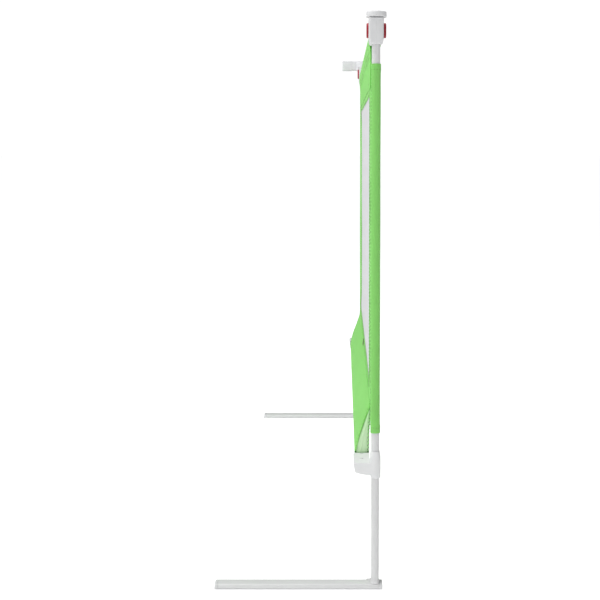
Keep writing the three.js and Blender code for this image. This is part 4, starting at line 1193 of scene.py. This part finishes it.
# faces inside the loop take the pale cloth, painted light for the lit inside of the pocket
for f in pocket.data.polygons:
    c, nn = f.center, f.normal
    y_, z_ = c.y / MM - PY, c.z / MM
    if z_ < 266 and abs(c.x / MM) < POX - 0.5:
        k = int(np.argmin((pp[:, 0] - y_) ** 2 + (pp[:, 1] - z_) ** 2))
        a, b = pp[max(k - 1, 0)], pp[min(k + 1, len(pp) - 1)]
        if nn.y * -(b - a)[1] + nn.z * (b - a)[0] < 0:          # faces the inside of the loop
            f.material_index = 1
    # the pocket's lower open-end edges take the darker binding colour, painted shade
    if abs(c.x / MM) > POX - 6.5 and z_ < 190:
        f.material_index = 2
xs = np.linspace(-POX + 2, POX - 2, 260)
for z in (ptop - 2.0, ptop - 7.5):
    stitch_row([(x, MIDY + 1.5, z) for x in xs], (0, 1, 0), pitch=5.6, length=3.8, r=0.34)
    stitch_row([(x, MIDY - 1.45, z) for x in xs], (0, -1, 0), pitch=5.6, length=3.8, r=0.34)
# hems at the open ends: thread follows the loop, front and back
for s in (-1, 1):
    rows = []
    for j in range(2, len(pp) - 2):
        a, b = pp[j - 1], pp[j + 1]
        ty, tz = b - a
        l = math.hypot(ty, tz)
        i_ = 3 if s < 0 else nu - 4
        rows.append(((s * (POX - 6.0), P[i_, j, 1] - tz / l * 0.55, P[i_, j, 2] + ty / l * 0.55), (0, -tz / l, ty / l)))
    stitch_row([r_[0] for r_ in rows], [r_[1] for r_ in rows], pitch=6.0, length=4.0, r=0.40)

# overlock loops: thread carried round the cut end of the loop every 6 mm
ov, of_ = [], []
ss = np.concatenate([[0], np.cumsum(np.linalg.norm(np.diff(pp, axis=0), axis=1))])
for s in (-1, 1):
    i_ = 0 if s < 0 else nu - 1
    for k in range(int((ss[-1] - 8) / 6.0)):
        c = 5.0 + 6.0 * k
        m_ = [float(np.interp(c, ss, P[i_, :, q])) for q in (0, 1, 2)]
        j = int(np.searchsorted(ss, c))
        if j < jmid and m_[2] > 194:               # the bed-side edge is folded under, not overlocked
            continue
        a, b = pp[max(j - 1, 0)], pp[min(j + 1, len(pp) - 1)]
        ty, tz = (b - a) / np.linalg.norm(b - a)
        n_ = np.array((0, -tz, ty))
        t_ = np.array((0, ty, tz))
        ax = np.array((s, 0, 0))
        base = len(ov)
        seg_, rr_, th = 9, 0.95, 0.62
        for q in range(seg_ + 1):
            an = -math.pi * 0.5 + math.pi * q / seg_
            ctr = np.array(m_) + n_ * (rr_ * math.sin(an)) + ax * (0.75 * rr_ * math.cos(an) - 0.35) + t_ * (1.7 * math.sin(an))
            rad = n_ * math.sin(an) + ax * math.cos(an)
            for w_ in range(6):
                aw = 2 * math.pi * w_ / 6
                ov.append(tuple(ctr + rad * th * math.cos(aw) + t_ * th * math.sin(aw)))
        for q in range(seg_):
            for w_ in range(6):
                x0_, x1_ = base + q * 6 + w_, base + q * 6 + (w_ + 1) % 6
                of_.append((x0_, x1_, x1_ + 6, x0_ + 6))
        of_.append(tuple(base + w_ for w_ in range(6))[::-1])
        of_.append(tuple(base + seg_ * 6 + w_ for w_ in range(6)))
over = new_object("overlock_stitching", ov, of_, [(v[1] * MM, v[2] * MM) for v in ov])
fix_normals(over)
register(over, "panel", overlock_m, (), 60)

# end gussets: a panel closes each end of the pocket above the rail, hemmed along its lower edge; its pale green is
# painted light
GZ0 = low_hi.z / MM + 1.15
tacks = []
for s, side_name in ((-1, "left"), (1, "right")):
    i_ = 6 if s < 0 else nu - 7
    row_ = P[i_]
    jb = int(np.argmin(row_[:, 2]))
    jo = int(np.argmax(row_[:, 1]))
    oz, oy = row_[:jo + 1, 2][::-1], row_[:jo + 1, 1][::-1]
    iz, iy = row_[jb + 4:, 2], row_[jb + 4:, 1]
    nz_g, ny_g = 40, 14
    G = np.zeros((ny_g, nz_g, 3))
    TG = np.zeros((ny_g, nz_g))
    for j in range(nz_g):
        z = GZ0 + (258.0 - GZ0) * (j / (nz_g - 1)) ** 1.15
        yo_, yi_ = float(np.interp(z, oz, oy)) - 0.8, float(np.interp(z, iz, iy)) + 0.8
        if yo_ < yi_ + 0.4:
            yo_ = yi_ + 0.4
        for i in range(ny_g):
            t = i / (ny_g - 1)
            puff = 1.5 * math.sin(math.pi * t) * math.sin(math.pi * min(1.0, (j + 2) / 20.0) / 2)
            puff += 0.30 * math.sin(t * 17 + z * 0.05) * math.sin(math.pi * t)
            G[i, j] = (s * (POX - 2.2 + puff), yi_ + (yo_ - yi_) * t, z)
            TG[i, j] = 0.65 + (0.7 if z < GZ0 + 1.9 else 0.0)
    gus = grid_solid("gusset", G, TG)
    gus.name = side_name + "_pocket_gusset"
    register(gus, "panel", lining_painted_light_m, (), 50)
    gus.data.materials.append(hem_painted_shade_m)
    # the lower edge takes the darker hem colour, painted shade under the fold
    for f in gus.data.polygons:
        if f.center.z / MM < GZ0 + 2.4:
            f.material_index = 1
    # dark thread knots at the hem corners and the lower corner: painted shade standing in for the shade at those
    # corners
    for y_t, z_t in ((float(np.interp(GZ0, oz, oy)), GZ0 + 2.3), (float(np.interp(GZ0, iz, iy)), GZ0 + 2.3), (float(row_[jo, 1]) - 0.6, 179.6)):
        loops = []
        for q in range(9):
            a_ = -math.pi / 2 + math.pi * (q + 0.02) / 8.04
            rr = math.cos(a_) * (1 + 0.10 * math.sin(q * 2.6))
            loops.append([(s * (POX - 0.7) + 1.5 * rr * math.cos(w), y_t + 1.35 * rr * math.sin(w), z_t + 1.9 * math.sin(a_)) for w in [2 * math.pi * k / 14 for k in range(14)]])
        tacks.append(loft("tack", loops))
for t_o in tacks[1:]:
    boolean(tacks[0], t_o, "UNION")
tacks[0].name = "corner_tacks_painted_shade"
register(tacks[0], "panel", overlock_m, (), 60)

# ------------------------------------------------------------------ blank sewn tag
tx0, tx1 = tag_lo.x / MM, tag_hi.x / MM
tz0, tz1 = tag_lo.z / MM, tag_hi.z / MM
ty_ = tag_lo.y / MM - PY
P = np.zeros((24, 16, 3))
for i in range(24):
    for j in range(16):
        x = tx0 + (tx1 - tx0) * i / 23
        z = tz1 - (tz1 - tz0) * 0.66 * j / 15
        P[i, j] = (x, ty_ + 1.25 + 0.9 * (j / 15) ** 2 + 0.25 * math.sin(i * 0.4), z)
tag = grid_solid("blank_tag", P, 0.45)
register(tag, "panel", tag_m, ["sewn_tag"], 50)
stitch_row([(x, ty_ + 1.6, tz1 - 1.6) for x in np.linspace(tx0 + 1, tx1 - 1, 12)], (0, 1, 0), pitch=3.2, length=2.2, r=0.25)

uvs = [(v[0] * MM, v[2] * MM) for v in stitch_v]
threads = new_object("stitching", stitch_v, stitch_f, uvs)
fix_normals(threads)
register(threads, "panel", thread_m, (), 60)

# ------------------------------------------------------------------ stage, light, camera
white_m, nt_, out_n = node_material("studio_white")
b_ = nt_.nodes.new("ShaderNodeBsdfPrincipled")
ns = add(nt_, "ShaderNodeTexNoise", Scale=3.0, Detail=2.0)
cc = mix_color(nt_, ns.outputs[0], (0.88, 0.88, 0.88, 1), (0.91, 0.91, 0.91, 1))
nt_.links.new(cc, b_.inputs["Base Color"])
b_.inputs["Roughness"].default_value = 0.9
b_.inputs["Specular IOR Level"].default_value = 0.1
b_.inputs["Emission Color"].default_value = (1, 1, 1, 1)
lpf = nt_.nodes.new("ShaderNodeLightPath")
mrf = nt_.nodes.new("ShaderNodeMapRange")
mrf.inputs["To Min"].default_value = 0.33      # lit from below, like a light table
mrf.inputs["To Max"].default_value = 0.66
nt_.links.new(lpf.outputs["Is Camera Ray"], mrf.inputs["Value"])
nt_.links.new(mrf.outputs[0], b_.inputs["Emission Strength"])
nt_.links.new(b_.outputs[0], out_n.inputs[0])
fl = bpy.data.meshes.new("studio_floor")
S = 90.0
fl.from_pydata([(-S, -S, -0.0005), (S, -S, -0.0005), (S, S, -0.0005), (-S, S, -0.0005)], [], [(0, 1, 2, 3)])
floor = bpy.data.objects.new("studio_floor", fl)
scene.collection.objects.link(floor)
fl.materials.append(white_m)

world = bpy.data.worlds.new("studio")
scene.world = world
world.use_nodes = True
wn = world.node_tree
bg = wn.nodes["Background"]
lp = wn.nodes.new("ShaderNodeLightPath")
mr = wn.nodes.new("ShaderNodeMapRange")
mr.inputs["To Min"].default_value = 0.39      # soft light on the object
mr.inputs["To Max"].default_value = 1.05      # backdrop as the camera sees it
wn.links.new(lp.outputs["Is Camera Ray"], mr.inputs["Value"])
wn.links.new(mr.outputs[0], bg.inputs[1])
bg.inputs[0].default_value = (1.0, 1.0, 1.0, 1)


def area(name, loc, target, size, power):
    l = bpy.data.lights.new(name, "AREA")
    l.shape = "RECTANGLE"
    l.size, l.size_y = size
    l.energy = power
    o = bpy.data.objects.new(name, l)
    scene.collection.objects.link(o)
    o.location = loc
    o.rotation_euler = (Vector(target) - Vector(loc)).to_track_quat("-Z", "Y").to_euler()
    return o


area("key", (0.4, 3.0, 2.0), (0, 0, 0.45), (2.0, 1.8), 16.5)
area("fill", (-6.0, 2.5, 4.5), (0, 0, 0.4), (2.4, 2.4), 90)
area("top", (-0.75, 0.7, 3.2), (-0.5, 0, 0.2), (1.5, 1.3), 46)

cam_d = bpy.data.cameras.new("camera")
cam_d.sensor_width = 36.0
cam_d.lens = 1452.0 / 600.0 * 36.0
cam_d.shift_x = (300 - 343.2) / 600.0
cam_d.shift_y = (305 - 300) / 600.0
cam_d.clip_start = 0.05
cam_d.clip_end = 600
cam = bpy.data.objects.new("camera", cam_d)
scene.collection.objects.link(cam)
pitch = math.radians(6.28)
leg_outer = leg_lo.x
cam.location = (leg_outer - 2.110, PY * MM + 0.0477, 0.6605)
cam.rotation_euler = Vector((math.cos(pitch), 0, -math.sin(pitch))).to_track_quat("-Z", "Y").to_euler()
scene.camera = cam
scene.view_settings.view_transform = "Standard"
